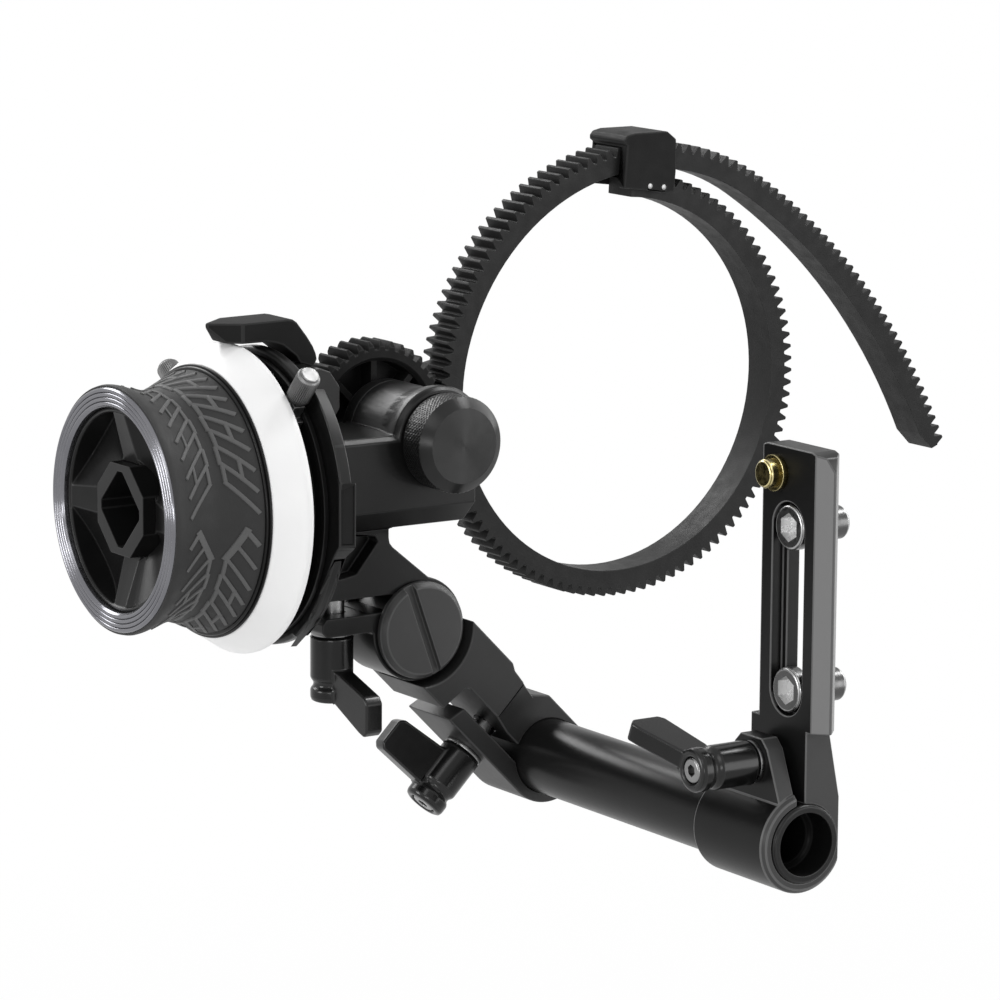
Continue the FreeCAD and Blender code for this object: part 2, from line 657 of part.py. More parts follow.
def make_pointer():
    """Index bracket that the stops come up against."""
    profile = side_view("pointer_profile", [
        ("-75.8", "92.2"), ("-75.2", "92.8"), ("-60.6", "93.6"), ("-58.4", "92.9"),
        ("-54.4", "88"), ("-53.8", "85.4"), ("-55.7", "82.8"), ("-57.9", "83.6"),
        ("-60.6", "83.6"), ("-59.6", "88.4"), ("-61", "89.2"), ("-63.1", "89.4"),
        ("-63.7", "90.4"), ("-73.8", "90.4"), ("-75.8", "91.4"),
    ], "84.5", "93.5")
    plan = extruded("pointer_plan", [
        ("-76.2", "88.2"), ("-70.6", "84.3"), ("-50", "84.3"), ("-50", "93.7"),
        ("-70.6", "93.7"), ("-76.2", "89.8"),
    ], 14, (0, 0, 81))
    body = common("pointer_common", profile, plan)
    node("pointer_bracket", body)


# ---------------------------------------------------------------- handwheel
SCALLOP_SLOPE = 53
SCALLOP_APEX = ("-90.4", "5.3")


def wheel_part(label, profile):
    node(label, turned(label + "_turn", profile, WHEEL_AXIS, "X"))


def scallop(number, angle):
    """A conical scoop out of the dished face, widening from the hub's flat side outwards."""
    turn = Rotation(Vector(1, 0, 0), angle)
    outward = turn.multVec(Vector(0, 1, 0))

    def away(reach, sideways="0"):
        return (f"size.wheel_y + ({reach}) * {outward.y:.6f} + {sideways} * {outward.z:.6f}",
                f"size.wheel_z + ({reach}) * {outward.z:.6f} - {sideways} * {outward.y:.6f}")

    slope = math.radians(SCALLOP_SLOPE)
    cone = doc.addObject("Part::Cone", f"scallop_cone_{number}")
    cone.Radius1 = 0
    cone.Radius2 = 20 * math.tan(slope)
    cone.Height = 20
    rise = Rotation(Vector(0, 0, 1), Vector(-math.sin(slope), math.cos(slope), 0))
    depth, apex = SCALLOP_APEX
    seat(cone, (depth, *away(apex)), turn * rise)
    block = box(f"scallop_block_{number}", (8, 10, 28))
    seat(block, ("-97", *away("size.hub_width / 2 + 0.05", "14")), turn)
    limit = cylinder(f"scallop_limit_{number}", 36.8, 8, ("-97", *WHEEL_AXIS[1:]), "X")
    return common(f"scallop_{number}", cone, block, limit)


def make_wheel():
    core = turned("core_turn", [
        ("6.05", "-66"), ("8.9", "-66"), ("8.9", "-70.45"), ("12.9", "-70.45"),
        ("12.9", "-77.25"), ("19.3", "-77.25"), ("19.3", "-95.3"), ("18.7", "-95.6"),
        ("18.4", "-95.2"), ("size.hub_width / 2", "size.rib_foot"), ("6.05", "size.rib_foot"),
    ], WHEEL_AXIS, "X")
    scoops = [scallop(number, 90 * number + 45) for number in range(4)]
    flats_square = TURNS["X"] * Rotation(Vector(0, 0, 1), 22.5)
    seat_hole = prism("hub_seat", 8, "size.hub_width + 0.1", 20, ("-100", *WHEEL_AXIS[1:]), flats_square)
    node("wheel_core", cut("core_finished", core, seat_hole, *scoops))
    head = prism("hub_head", 8, "size.hub_width", "-80.05 - size.hub_face",
                 ("size.hub_face", *WHEEL_AXIS[1:]), flats_square)
    tail = cylinder("hub_tail", 12, 15, ("-81", *WHEEL_AXIS[1:]), "X")
    bore = cylinder("hub_bore", "size.shaft_diameter", 20, ("-82.15", *WHEEL_AXIS[1:]), "X")
    square = prism("crank_square", 4, 11.4, 11)
    corners = prism("crank_corners", 4, 14.4, 11, (0, 0, 0), Rotation(Vector(0, 0, 1), 45))
    socket = seat(common("crank_socket", square, corners), ("size.hub_face", *WHEEL_AXIS[1:]), "X")
    node("wheel_hub", cut("hub_finished", fuse("hub_solid", head, tail), socket, bore))
    wheel_part("wheel_rim", [
        ("19.35", "-93.2"), ("19.35", "-96.2"), ("20.2", "-96.8"), ("22.9", "-96.8"),
        ("23.66", "-96"), ("23.66", "-94.3"), ("22.9", "-93.2"),
    ])
    wheel_part("wheel_grip", [
        ("19.35", "-93.15"), ("22.7", "-93.15"), ("22", "-91.6"), ("21.5", "-89.6"),
        ("21.5", "-87.8"), ("22", "-85.4"), ("23", "-82.7"), ("24.1", "-80.3"),
        ("25.1", "-78.3"), ("19.35", "-78.3"),
    ])
    wheel_part("grip_end_ring", [
        ("19.35", "-78.25"), ("25.3", "-78.25"), ("25.5", "-78"), ("25.5", "-77.5"),
        ("25.3", "-77.25"), ("19.35", "-77.25"),
    ])
    wheel_part("marking_disc", [
        ("12.95", "-77.2"), ("26.2", "-77.2"), ("28.5", "-73.4"), ("29.74", "-71.6"),
        ("29.74", "-70.7"), ("29.5", "-70.45"), ("12.95", "-70.45"),
    ])
    wheel_part("stop_track", [
        ("8.95", "-70.4"), ("27.2", "-70.4"), ("27.2", "-69.45"), ("26", "-69.45"),
        ("26", "-69.8"), ("23.4", "-69.8"), ("23.4", "-66.4"), ("26", "-66.4"),
        ("26", "-66.75"), ("27.2", "-66.75"), ("27.2", "-65.8"), ("8.95", "-65.8"),
    ])
    wheel_part("wheel_shaft", [
        ("0", "-82"), ("size.shaft_diameter / 2 - 0.02", "-82"),
        ("size.shaft_diameter / 2 - 0.02", CROSS_X + " - 7.2"),
        ("2", CROSS_X + " - 7.2"), ("2", CROSS_X + " - 3.3"), ("0", CROSS_X + " - 3.3"),
    ])


def make_stop(side, angle):
    """Knurled thumb screw and the nut that it locks in the track round the wheel."""
    turn = Rotation(Vector(1, 0, 0), angle)
    outward = turn.multVec(Vector(0, 0, 1))

    def at_radius(radius):
        return ("size.stop_x", f"size.wheel_y + ({radius}) * {outward.y:.6f}",
                f"size.wheel_z + ({radius}) * {outward.z:.6f}")

    foot = seat(box(f"stop_foot_{side}", (3, 6, 1.9)), (-1.5, -3, 23.8))
    neck = seat(box(f"stop_neck_{side}", (2.4, 3.6, 4.6)), (-1.2, -1.8, 24.2))
    hole = cylinder(f"stop_hole_{side}", 2.5, 10, (0, 0, 22))
    nut = cut(f"stop_nut_cut_{side}", fuse(f"stop_nut_solid_{side}", foot, neck), hole)
    seat(nut, ("size.stop_x", "size.wheel_y", "size.wheel_z"), turn)
    node(f"stop_nut_{side}", nut)
    screw = turned(f"stop_screw_turn_{side}", [
        ("0", "-5"), ("1.2", "-5"), ("1.2", "0"), ("size.stop_diameter / 2 - 0.3", "0"),
        ("size.stop_diameter / 2", "0.3"), ("size.stop_diameter / 2", "size.stop_head - 0.4"),
        ("size.stop_diameter / 2 - 0.4", "size.stop_head"), ("0", "size.stop_head"),
    ], at_radius("size.stop_radius - 0.7"), turn)
    node(f"stop_screw_{side}", screw)


# ---------------------------------------------------------------- gears
def bevel_gear(name, teeth, module, phase, hub_length, bore):
    """A straight bevel gear for shafts at right angles; its apex is at the origin."""
    pitch = teeth * module / 2
    inner = pitch - 1.7
    face = gear_face(teeth, module, 0.7, 1.15, phase)
    wires = []
    for distance in (inner, pitch):
        wire = face.OuterWire.copy()
        wire.scale(distance / pitch)
        wire.translate(Vector(0, 0, distance))
        wires.append(wire)
    solid = Part.makeLoft(wires, True, True)
    hub = Part.makeCylinder(pitch - 1.15 * module, hub_length, Vector(0, 0, pitch))
    hole = Part.makeCylinder(bore / 2, 20)
    return solid.fuse(hub).cut(hole).removeSplitter()


def make_gear_train():
    module = value("size.module_train")
    shaft = value("size.shaft_diameter")
    bevel_teeth = int(value("size.bevel_teeth"))
    half_tooth = math.pi / bevel_teeth
    apex = (CROSS_X, "size.wheel_y", "size.wheel_z")
    wheel_bevel = bevel_gear("wheel_bevel", bevel_teeth, module, 0, 2.3, 4.04)
    node("wheel_bevel_gear", feature("wheel_bevel", wheel_bevel, apex, "-X"))
    cross_bevel = bevel_gear("cross_bevel", bevel_teeth, module, half_tooth, 0.9, shaft + 0.02)
    node("cross_bevel_gear", feature("cross_bevel", cross_bevel, apex, "-Y"))
    rise = value("size.gear_z") - value("size.wheel_z")
    across = value("size.gear_x") - value(CROSS_X)
    towards = math.atan2(-rise, across)
    cross_teeth = int(value("size.cross_teeth"))
    output_teeth = int(value("size.output_teeth"))
    depth = "size.box_back - 3.2"
    cross_spur = spur_gear("cross_spur", cross_teeth, module, 3, shaft + 0.02, towards)
    node("cross_spur_gear", feature("cross_spur", cross_spur, on_axis(CROSS_AXIS, depth), "Y"))
    phase = towards + math.pi + math.pi / output_teeth
    output_spur = spur_gear("output_spur", output_teeth, module, 3, shaft + 0.02, phase)
    node("output_spur_gear", feature("output_spur", output_spur, on_axis(GEAR_AXIS, depth), "Y"))
    radius = "size.shaft_diameter / 2"
    node("cross_shaft", turned("cross_shaft_turn", [
        ("0", "81.1"), (radius, "81.1"), (radius, "size.box_back + 1.3"),
        ("0", "size.box_back + 1.3"),
    ], CROSS_AXIS, "Y"))
    node("output_shaft", turned("output_shaft_turn", [
        ("0", "74.6"), ("1.9", "74.6"), ("1.9", "size.knob_back + 0.1"),
        (radius, "size.knob_back + 0.1"), (radius, "size.gear_front + 6.2"),
        ("0", "size.gear_front + 6.2"),
    ], GEAR_AXIS, "Y"))


def make_drive_gear():
    """Focus gear with a rim, a deep face with ribs, and a hub."""
    module = value("size.module_drive")
    teeth = int(value("size.gear_teeth"))
    width = value("size.gear_width")
    rise = value("size.belt_z") - value("size.gear_z")
    across = math.sqrt(BELT_DISTANCE ** 2 - rise ** 2)
    phase = math.atan2(-rise, across)
    blank = feature("gear_blank", gear_face(teeth, module, phase=phase).extrude(Vector(0, 0, width)))
    rounding = turned("gear_rounding", [
        ("0", "0"), ("15.3", "0"), ("16.5", "0.8"), ("16.5", "size.gear_width - 0.8"),
        ("15.3", "size.gear_width"), ("0", "size.gear_width"),
    ])
    toothed = common("gear_toothed", blank, rounding)
    recess = turned("gear_recess", [
        ("4.4", "-1"), ("13.2", "-1"), ("13.2", "0"), ("12.4", "0.9"), ("12.2", "5.4"), ("4.6", "5.4"),
    ])
    ribs = [seat(box(f"gear_rib_{number}", (14, 1.3, 4.6)), (0, -0.65, 1.4))
            for number in range(8)]
    for number, rib in enumerate(ribs):
        turn = Rotation(Vector(0, 0, 1), 45 * number)
        seat(rib, [f"{spot:.4f}" for spot in turn.multVec(Vector(0, -0.65, 1.4))], turn)
    pockets = cut("gear_pockets", recess, *ribs)
    screw_seat = cylinder("gear_screw_seat", 6, 3, (0, 0, "size.gear_width - 1.7"))
    bore = cylinder("gear_bore", "size.shaft_diameter + 0.02", 20, (0, 0, -5))
    gear = cut("drive_gear_finished", toothed, pockets, screw_seat, bore)
    seat(gear, on_axis(GEAR_AXIS, "size.gear_front"), "Y")
    node("drive_gear", gear)
    screw = turned("gear_screw_turn", [
        ("0", "6.3"), ("2.9", "6.3"), ("2.9", "7.6"), ("2.6", "7.9"), ("0", "7.9"),
    ])
    hexagon = prism("gear_screw_hex", 6, 2.5, 3, (0, 0, 6.9))
    finished = cut("gear_screw_cut", screw, hexagon)
    node("drive_gear_screw", seat(finished, on_axis(GEAR_AXIS, "size.gear_front"), "Y"))


def make_knob():
    node("gear_knob", cut("knob_finished", turned("knob_turn", [
        ("0", "size.knob_front"), ("7.6", "size.knob_front"),
        ("size.knob_diameter / 2", "size.knob_front + 2.1"),
        ("size.knob_diameter / 2", "size.knob_back - 0.3"),
        ("size.knob_diameter / 2 - 0.3", "size.knob_back"), ("0", "size.knob_back"),
    ], GEAR_AXIS, "Y"), cylinder("knob_thread", 3.84, 10, on_axis(GEAR_AXIS, 74.4), "Y")))


# ---------------------------------------------------------------- lens belt
BELT_DISTANCE = value("size.module_drive * (size.gear_teeth + size.belt_teeth) / 2 + size.mesh_gap")
BELT_RISE = value("size.belt_z - size.gear_z")
BELT_X = value("size.gear_x") + math.sqrt(BELT_DISTANCE ** 2 - BELT_RISE ** 2)
BELT_START = 87.0
TEETH_START = 82.3
LIFT_START = 164.8
LIFT = 7.3
TAIL_START = 57.3
TAIL_END = 22.2
TAIL_RADIUS = 131.3
BELT_TOOTH = 1.8
BUCKLE_FRONT = "(size.gear_front - size.buckle_cheek)"
BUCKLE_BACK = "(size.gear_front + size.gear_width + size.buckle_cheek)"
PIN_SPOTS = [("34.6", "110.5"), ("38", "110.1")]


def polar(centre, radius, angle):
    return centre + Vector(math.cos(angle) * radius, 0, math.sin(angle) * radius)


def belt_runs():
    """Centre, tip radius and end angles of each arc, clockwise as seen from the front."""
    tip = value("size.module_drive * (size.belt_teeth / 2 + 1)")
    centre = Vector(BELT_X, 0, value("size.belt_z"))
    full_turn = 2 * math.pi
    start = math.radians(BELT_START)
    lift_start = math.radians(LIFT_START) - full_turn
    tail_start = math.radians(TAIL_START) - full_turn
    tail_end = math.radians(TAIL_END) - full_turn
    lifted_centre = polar(centre, -LIFT, lift_start)
    tail_centre = polar(lifted_centre, tip + LIFT - TAIL_RADIUS, tail_start)
    return [
        (centre, tip, start, lift_start),
        (lifted_centre, tip + LIFT, lift_start, tail_start),
        (tail_centre, TAIL_RADIUS, tail_start, tail_end),
    ]


def belt_outline():
    """The strap's closed side view; a space between teeth points at the drive gear."""
    module = value("size.module_drive")
    base = value("size.belt_thickness")
    half_pitch_width = module * math.pi / 4 - BACKLASH / 2
    half_tip = half_pitch_width - module * math.tan(PRESSURE_ANGLE)
    half_root = half_pitch_width + (BELT_TOOTH - module) * math.tan(PRESSURE_ANGLE)
    runs = belt_runs()
    centre, tip, start, _ = runs[0]
    pitch_angle = 2 * math.pi / value("size.belt_teeth")
    neutral = tip - BELT_TOOTH - base / 2
    step = neutral * pitch_angle
    mesh = math.pi + math.asin(BELT_RISE / BELT_DISTANCE) + pitch_angle / 2
    skipped = math.ceil((mesh - math.radians(TEETH_START)) / pitch_angle)
    travel = (start - mesh + skipped * pitch_angle) * neutral
    outer = [polar(centre, tip - BELT_TOOTH, start)]
    inner = []
    for run, (centre, tip, start, end) in enumerate(runs):
        fibre = tip - BELT_TOOTH - base / 2
        while travel < (start - end) * fibre:
            angle = start - travel / fibre
            for radius, half in ((tip - BELT_TOOTH, half_root), (tip, half_tip),
                                 (tip, -half_tip), (tip - BELT_TOOTH, -half_root)):
                outer.append(polar(centre, radius, angle + half / radius))
            travel += step
        if run == len(runs) - 1:
            end = start - (travel - step / 2) / fibre
            outer += [polar(centre, fibre + base / 2, end), polar(centre, fibre, end)]
            end += 4.5 / fibre
        travel -= (start - end) * fibre
        arc = [polar(centre, fibre - base / 2, angle) for angle in (start, (start + end) / 2, end)]
        inner.append(Part.Arc(*arc).toShape())
    teeth = Part.makePolygon([inner[0].Vertexes[0].Point, *outer, inner[-1].Vertexes[-1].Point])
    return Part.Wire(Part.__sortEdges__(teeth.Edges + inner))


def make_belt():
    """Toothed strap: round the lens, through its own buckle, and out as a free tail."""
    strap = Part.Face(belt_outline()).extrude(Vector(0, value("size.gear_width"), 0))
    blank = feature("belt_blank", strap, (0, "size.gear_front", 0))
    holes = [cylinder(f"buckle_pin_hole_{number}", 1.24, 20, (across, 98, up), "Y")
             for number, (across, up) in enumerate(PIN_SPOTS)]
    node("lens_belt", cut("belt_finished", blank, *holes))
    frame = side_view("buckle_frame", [
        ("28.15", "110.4"), ("28.9", "118.9"), ("28.2", "119.3"), ("28.2", "120.2"),
        ("28.9", "121"), ("30.8", "121.4"), ("38.8", "121.4"), ("41", "119.7"), ("41", "113"),
        ("40.6", "109"), ("37.5", "109"), ("33.7", "109.7"),
    ], BUCKLE_FRONT, BUCKLE_BACK)
    centre, tip, _, _ = belt_runs()[1]
    inside = "size.gear_front - 0.1"
    inside_back = "size.gear_front + size.gear_width + 0.1"
    channel = turned("buckle_channel", [
        ("0", inside), (str(tip + 0.1), inside), (str(tip + 0.1), inside_back), ("0", inside_back),
    ], (str(centre.x), 0, str(centre.z)), "Y")
    node("belt_buckle", cut("buckle_finished", frame, channel, *holes))
    group = doc.addObject("Part::Compound", "buckle_pin_group")
    group.Links = [
        cylinder(f"buckle_pin_{number}", 1.2, f"{BUCKLE_BACK} - {BUCKLE_FRONT}",
                 (across, BUCKLE_FRONT, up), "Y")
        for number, (across, up) in enumerate(PIN_SPOTS)]
    node("buckle_pins", group)


# ---------------------------------------------------------------- clamp levers
def make_lever(place, base, axis, reach, shank, paddle):
    """A ratchet lever: stud, sprung handle and the screw that holds them together."""
    turn = Rotation(Vector(*reach), Vector(), Vector(*axis), "ZXY")
    stud = fuse(f"stud_solid_{place}", turned(f"stud_turn_{place}", [
        ("0", f"-({shank})"), ("2.1", f"-({shank})"), ("2.45", f"-({shank}) + 0.4"), ("2.45", "0"),
        ("4.1", "0"), ("4.1", "0.8"), ("1.6", "0.8"), ("1.6", "11.6"), ("0", "11.6"),
    ]), prism(f"stud_hex_{place}", 6, 5.4, 3, (0, 0, 0.7)))
    thread = cylinder(f"stud_thread_{place}", 1.7, 8, (0, 0, 4))
    node(f"lever_stud_{place}", seat(cut(f"stud_cut_{place}", stud, thread), base, turn))
    hub = turned(f"hub_turn_{place}", [
        ("0", "0.95"), ("4", "0.95"), ("4.2", "1.2"), ("4.2", "9.5"), ("3.6", "10"), ("3.6", "11"),
        ("4.2", "11.4"), ("4.2", "13.4"), ("3.7", "14"), ("0", "14"),
    ])
    blade = side_view(f"paddle_{place}", paddle, -1.9, 1.9)
    handle = fuse(f"handle_solid_{place}", hub, blade)
    cuts = [
        prism(f"handle_hex_{place}", 6, 5.6, 5, (0, 0, 0)),
        cylinder(f"handle_web_{place}", 3.5, 10, (0, 0, 1)),
        cylinder(f"handle_chamber_{place}", 5.2, 20, (0, 0, 6.2)),
    ]
    node(f"lever_handle_{place}", seat(cut(f"handle_cut_{place}", handle, *cuts), base, turn))
    screw = turned(f"lever_screw_turn_{place}", [
        ("0", "5"), ("0.8", "5"), ("0.8", "11.65"), ("2.45", "11.65"), ("2.45", "13.6"),
        ("2.1", "13.9"), ("0", "13.9"),
    ])
    hexagon = prism(f"lever_screw_hex_{place}", 6, 2, 3, (0, 0, 12.4))
    node(f"lever_screw_{place}", seat(cut(f"lever_screw_cut_{place}", screw, hexagon), base, turn))
    spring = turned(f"lever_spring_turn_{place}", [
        ("1.8", "9.4"), ("2.3", "9.4"), ("2.4", "9.65"), ("2.2", "9.95"), ("2.4", "10.2"),
        ("2.2", "10.5"), ("2.4", "10.8"), ("2.2", "11.1"), ("2.4", "11.35"), ("2.3", "11.6"),
        ("1.8", "11.6"),
    ])
    node(f"lever_spring_{place}", seat(spring, base, turn))


TILTED_PADDLE = [("0", "7.1"), ("5", "7.6"), ("14.6", "10.6"), ("15.6", "11.8"), ("15.6", "17.4"),
                 ("14.4", "18.5"), ("12.6", "17.9"), ("4", "14"), ("0", "14")]
STRAIGHT_PADDLE = [("0", "3"), ("4", "3"), ("14.6", "4.2"), ("15.6", "5.2"), ("15.6", "10.6"),
                   ("14.6", "11.6"), ("4", "11.6"), ("0", "11.2")]


def make_levers():
    make_lever("gearbox", (-47, 91, 29.7), (0, 0, -1), (0, -1, 0), 14, TILTED_PADDLE)
    make_lever("arm", arm_spot("12.1", 92, "size.arm_jaw_side"), (-1, 0, -1), (-1, 0.25, 1),
               13.4, STRAIGHT_PADDLE)
    make_lever("plate", (-5.5, 10, 14.5), (-1, 0, 0), (0, 1, 0.4), 10.7, TILTED_PADDLE)


make_side_plate()
make_plate_screw("upper", "size.slot_top")
make_plate_screw("lower", "size.slot_bottom")
make_safety_pin()
make_rod()
make_arm()
make_stub()
make_gearbox()
make_rear_cover()
make_bushes()
make_pointer()
make_wheel()
make_stop("right", 42.4)
make_stop("left", -53.5)
make_gear_train()
make_drive_gear()
make_knob()
make_belt()
make_levers()


# ---------------------------------------------------------------- check and write
doc.recompute()
os.makedirs("parts", exist_ok=True)
for item in doc.Objects:
    if "Invalid" in item.State or "Error" in item.State:
        raise RuntimeError(f"{item.Label} did not build: {item.State}")
for item in NODES:
    if item.Shape.isNull() or not item.Shape.isValid():
        raise RuntimeError(f"{item.Label} has no valid shape")
    item.Shape.exportStep(f"parts/{item.Label}.step")
    print(item.Label, len(item.Shape.Solids), round(item.Shape.Volume, 1))
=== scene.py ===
import json
from math import atan2, cos, pi, radians, sin

import bmesh
import bpy
from mathutils import Matrix, Vector


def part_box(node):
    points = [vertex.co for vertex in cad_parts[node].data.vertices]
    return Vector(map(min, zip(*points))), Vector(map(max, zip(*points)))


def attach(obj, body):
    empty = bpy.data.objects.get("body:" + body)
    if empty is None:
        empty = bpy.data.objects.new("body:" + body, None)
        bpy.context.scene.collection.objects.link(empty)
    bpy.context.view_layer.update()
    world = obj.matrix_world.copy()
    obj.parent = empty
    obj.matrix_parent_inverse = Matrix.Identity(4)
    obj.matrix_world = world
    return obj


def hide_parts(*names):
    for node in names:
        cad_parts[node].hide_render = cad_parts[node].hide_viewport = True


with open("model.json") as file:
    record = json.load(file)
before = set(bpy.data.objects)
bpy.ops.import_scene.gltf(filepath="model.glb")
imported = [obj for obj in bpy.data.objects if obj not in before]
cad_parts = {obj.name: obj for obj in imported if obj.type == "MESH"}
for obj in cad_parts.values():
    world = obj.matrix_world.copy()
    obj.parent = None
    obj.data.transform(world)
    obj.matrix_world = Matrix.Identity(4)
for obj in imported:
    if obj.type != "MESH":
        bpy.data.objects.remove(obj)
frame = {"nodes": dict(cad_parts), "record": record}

# Shapes are drawn in millimetres and made metres when they are finished.
MM = 0.001
# The handwheel's axle runs along X through WHEEL, and the drive gear's along Y through GEAR.
WHEEL = Vector((0, 89, 58.27))
GEAR = Vector((-29, 0, 67))
scene = bpy.context.scene
nodes = frame["nodes"]
slots = {part["node"]: part["material_slot"] for part in frame["record"]["subparts"]}
bodies = {node: body for body, members in frame["record"]["behaviour"]["bodies"].items()
          for node in members}
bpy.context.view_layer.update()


# ---------------------------------------------------------------- shader building
class Recipe:
    """A material with a Principled shader and short ways to feed it."""

    def __init__(self, name, **sockets):
        self.material = bpy.data.materials.new(name)
        self.material.use_nodes = True
        self.tree = self.material.node_tree
        self.shader = self.tree.nodes["Principled BSDF"]
        self.spots = self.node("ShaderNodeTexCoord").outputs["Object"]
        for socket, number in sockets.items():
            self.shader.inputs[socket.replace("_", " ")].default_value = number

    def node(self, kind, settings=None, **inputs):
        """A new node with its own settings, its inputs fed by name."""
        made = self.tree.nodes.new(kind)
        for key, setting in (settings or {}).items():
            setattr(made, key, setting)
        for key, source in inputs.items():
            self.feed(made.inputs[key.replace("_", " ")], source)
        return made

    def feed(self, socket, source):
        """Links a socket to another's output, or sets it to a plain value."""
        if isinstance(source, bpy.types.NodeSocket):
            self.tree.links.new(source, socket)
        else:
            socket.default_value = source

    def combine(self, kind, operation, first, second):
        """The output of a Math or Vector Math node over two sources."""
        made = self.node(kind, {"operation": operation})
        self.feed(made.inputs[0], first)
        self.feed(made.inputs[1], second)
        return made.outputs[0]

    def mottle(self, scale, low, high, detail=3.0, stretch=(1, 1, 1)):
        """A noise that runs from low to high, with a scale in bumps per metre."""
        spread = self.node("ShaderNodeMapping", Vector=self.spots, Scale=stretch)
        noise = self.node("ShaderNodeTexNoise", Vector=spread.outputs[0], Scale=scale,
                          Detail=detail)
        return self.between(noise.outputs["Fac"], 0.3, 0.7, low, high)

    def between(self, source, low, high, new_low, new_high):
        """Carries a value from one range to another, and no further."""
        return self.node("ShaderNodeMapRange", Value=source, From_Min=low, From_Max=high,
                         To_Min=new_low, To_Max=new_high).outputs[0]

    def blend(self, share, first, second):
        """Goes from one colour to another as the share rises."""
        made = self.node("ShaderNodeMix", {"data_type": "RGBA"}, Factor=share)
        self.feed(made.inputs[6], first)
        self.feed(made.inputs[7], second)
        return made.outputs[2]

    def cloudy(self, scale, low, high):
        """A tone that drifts between two colours over the part."""
        return self.blend(self.mottle(scale, 0, 1), colour(low), colour(high))

    def wear_and_highlight_colour(self, tone, edge):
        """The edge colour on marked faces, partly wear and partly painted highlight, and the tone
        elsewhere.
        """
        wear_and_highlight_share = self.node("ShaderNodeAttribute", {"attribute_name": "wear_and_highlight"}).outputs["Fac"]
        return self.blend(wear_and_highlight_share, tone, colour(edge))

    def paint(self, source):
        self.feed(self.shader.inputs["Base Color"], source)

    def gloss(self, source):
        self.feed(self.shader.inputs["Roughness"], source)

    def relief(self, height, depth, strength):
        """Bumps of a depth in metres where the height runs from 0 to 1."""
        bump = self.node("ShaderNodeBump", Height=height, Distance=depth, Strength=strength)
        self.feed(self.shader.inputs["Normal"], bump.outputs[0])


def colour(tone):
    """A grey level or a red, green and blue triple as the four numbers of a socket."""
    red, green, blue = (tone,) * 3 if isinstance(tone, (int, float)) else tone
    return red, green, blue, 1.0


def dark_metal(name, low, high, rough, grain, edge, **sockets):
    """Black finish on metal: a slightly uneven tone, a blasted grain and paler edges, partly wear
    and partly painted highlight.
    """
    recipe = Recipe(name, **sockets)
    recipe.paint(recipe.wear_and_highlight_colour(recipe.cloudy(90, low, high), edge))
    recipe.gloss(recipe.mottle(700, rough - 0.015, rough + 0.015))
    recipe.relief(recipe.mottle(grain, 0, 1, detail=2.0), depth=0.000006, strength=0.3)
    return recipe.material


def bright_metal(name, tone, rough, turning, edge=None, **sockets):
    """Bare metal with fine tool marks along the part, and brighter rims, a painted highlight, where
    edge says so.
    """
    recipe = Recipe(name, Metallic=1.0, **sockets)
    bare = recipe.cloudy(150, [level * 0.9 for level in colour(tone)[:3]], tone)
    recipe.paint(recipe.wear_and_highlight_colour(bare, edge) if edge else bare)
    recipe.gloss(recipe.mottle(900, rough - 0.06, rough + 0.06, detail=2.0, stretch=turning))
    grooves = recipe.mottle(2500, 0, 1, detail=2.0, stretch=turning)
    recipe.relief(grooves, depth=0.000003, strength=0.4)
    return recipe.material


def moulded(name, low, high, rough, grain, depth, edge, **sockets):
    """Rubber or plastic from a mould, with a fine spark texture and a paler edge colour, partly
    wear and partly painted highlight.
    """
    recipe = Recipe(name, **sockets)
    recipe.paint(recipe.wear_and_highlight_colour(recipe.cloudy(60, low, high), edge))
    recipe.gloss(recipe.mottle(400, rough - 0.06, rough + 0.06))
    recipe.relief(recipe.mottle(grain, 0, 1), depth, strength=0.5)
    return recipe.material


def spun_metal(name, low, high, centre, across, rough, **sockets):
    """Metal that was faced on a lathe, so its shine fans out from the centre."""
    recipe = Recipe(name, Anisotropic=0.85, **sockets)
    recipe.paint(recipe.cloudy(90, low, high))
    out = recipe.combine("ShaderNodeVectorMath", "SUBTRACT", recipe.spots, centre * MM)
    flat = recipe.combine("ShaderNodeVectorMath", "MULTIPLY", out, across)
    turn = recipe.node("ShaderNodeVectorTransform", {"vector_type": "VECTOR",
                       "convert_from": "OBJECT", "convert_to": "WORLD"}, Vector=flat)
    recipe.feed(recipe.shader.inputs["Tangent"], turn.outputs[0])
    recipe.gloss(recipe.mottle(500, rough - 0.04, rough + 0.04))
    return recipe.material
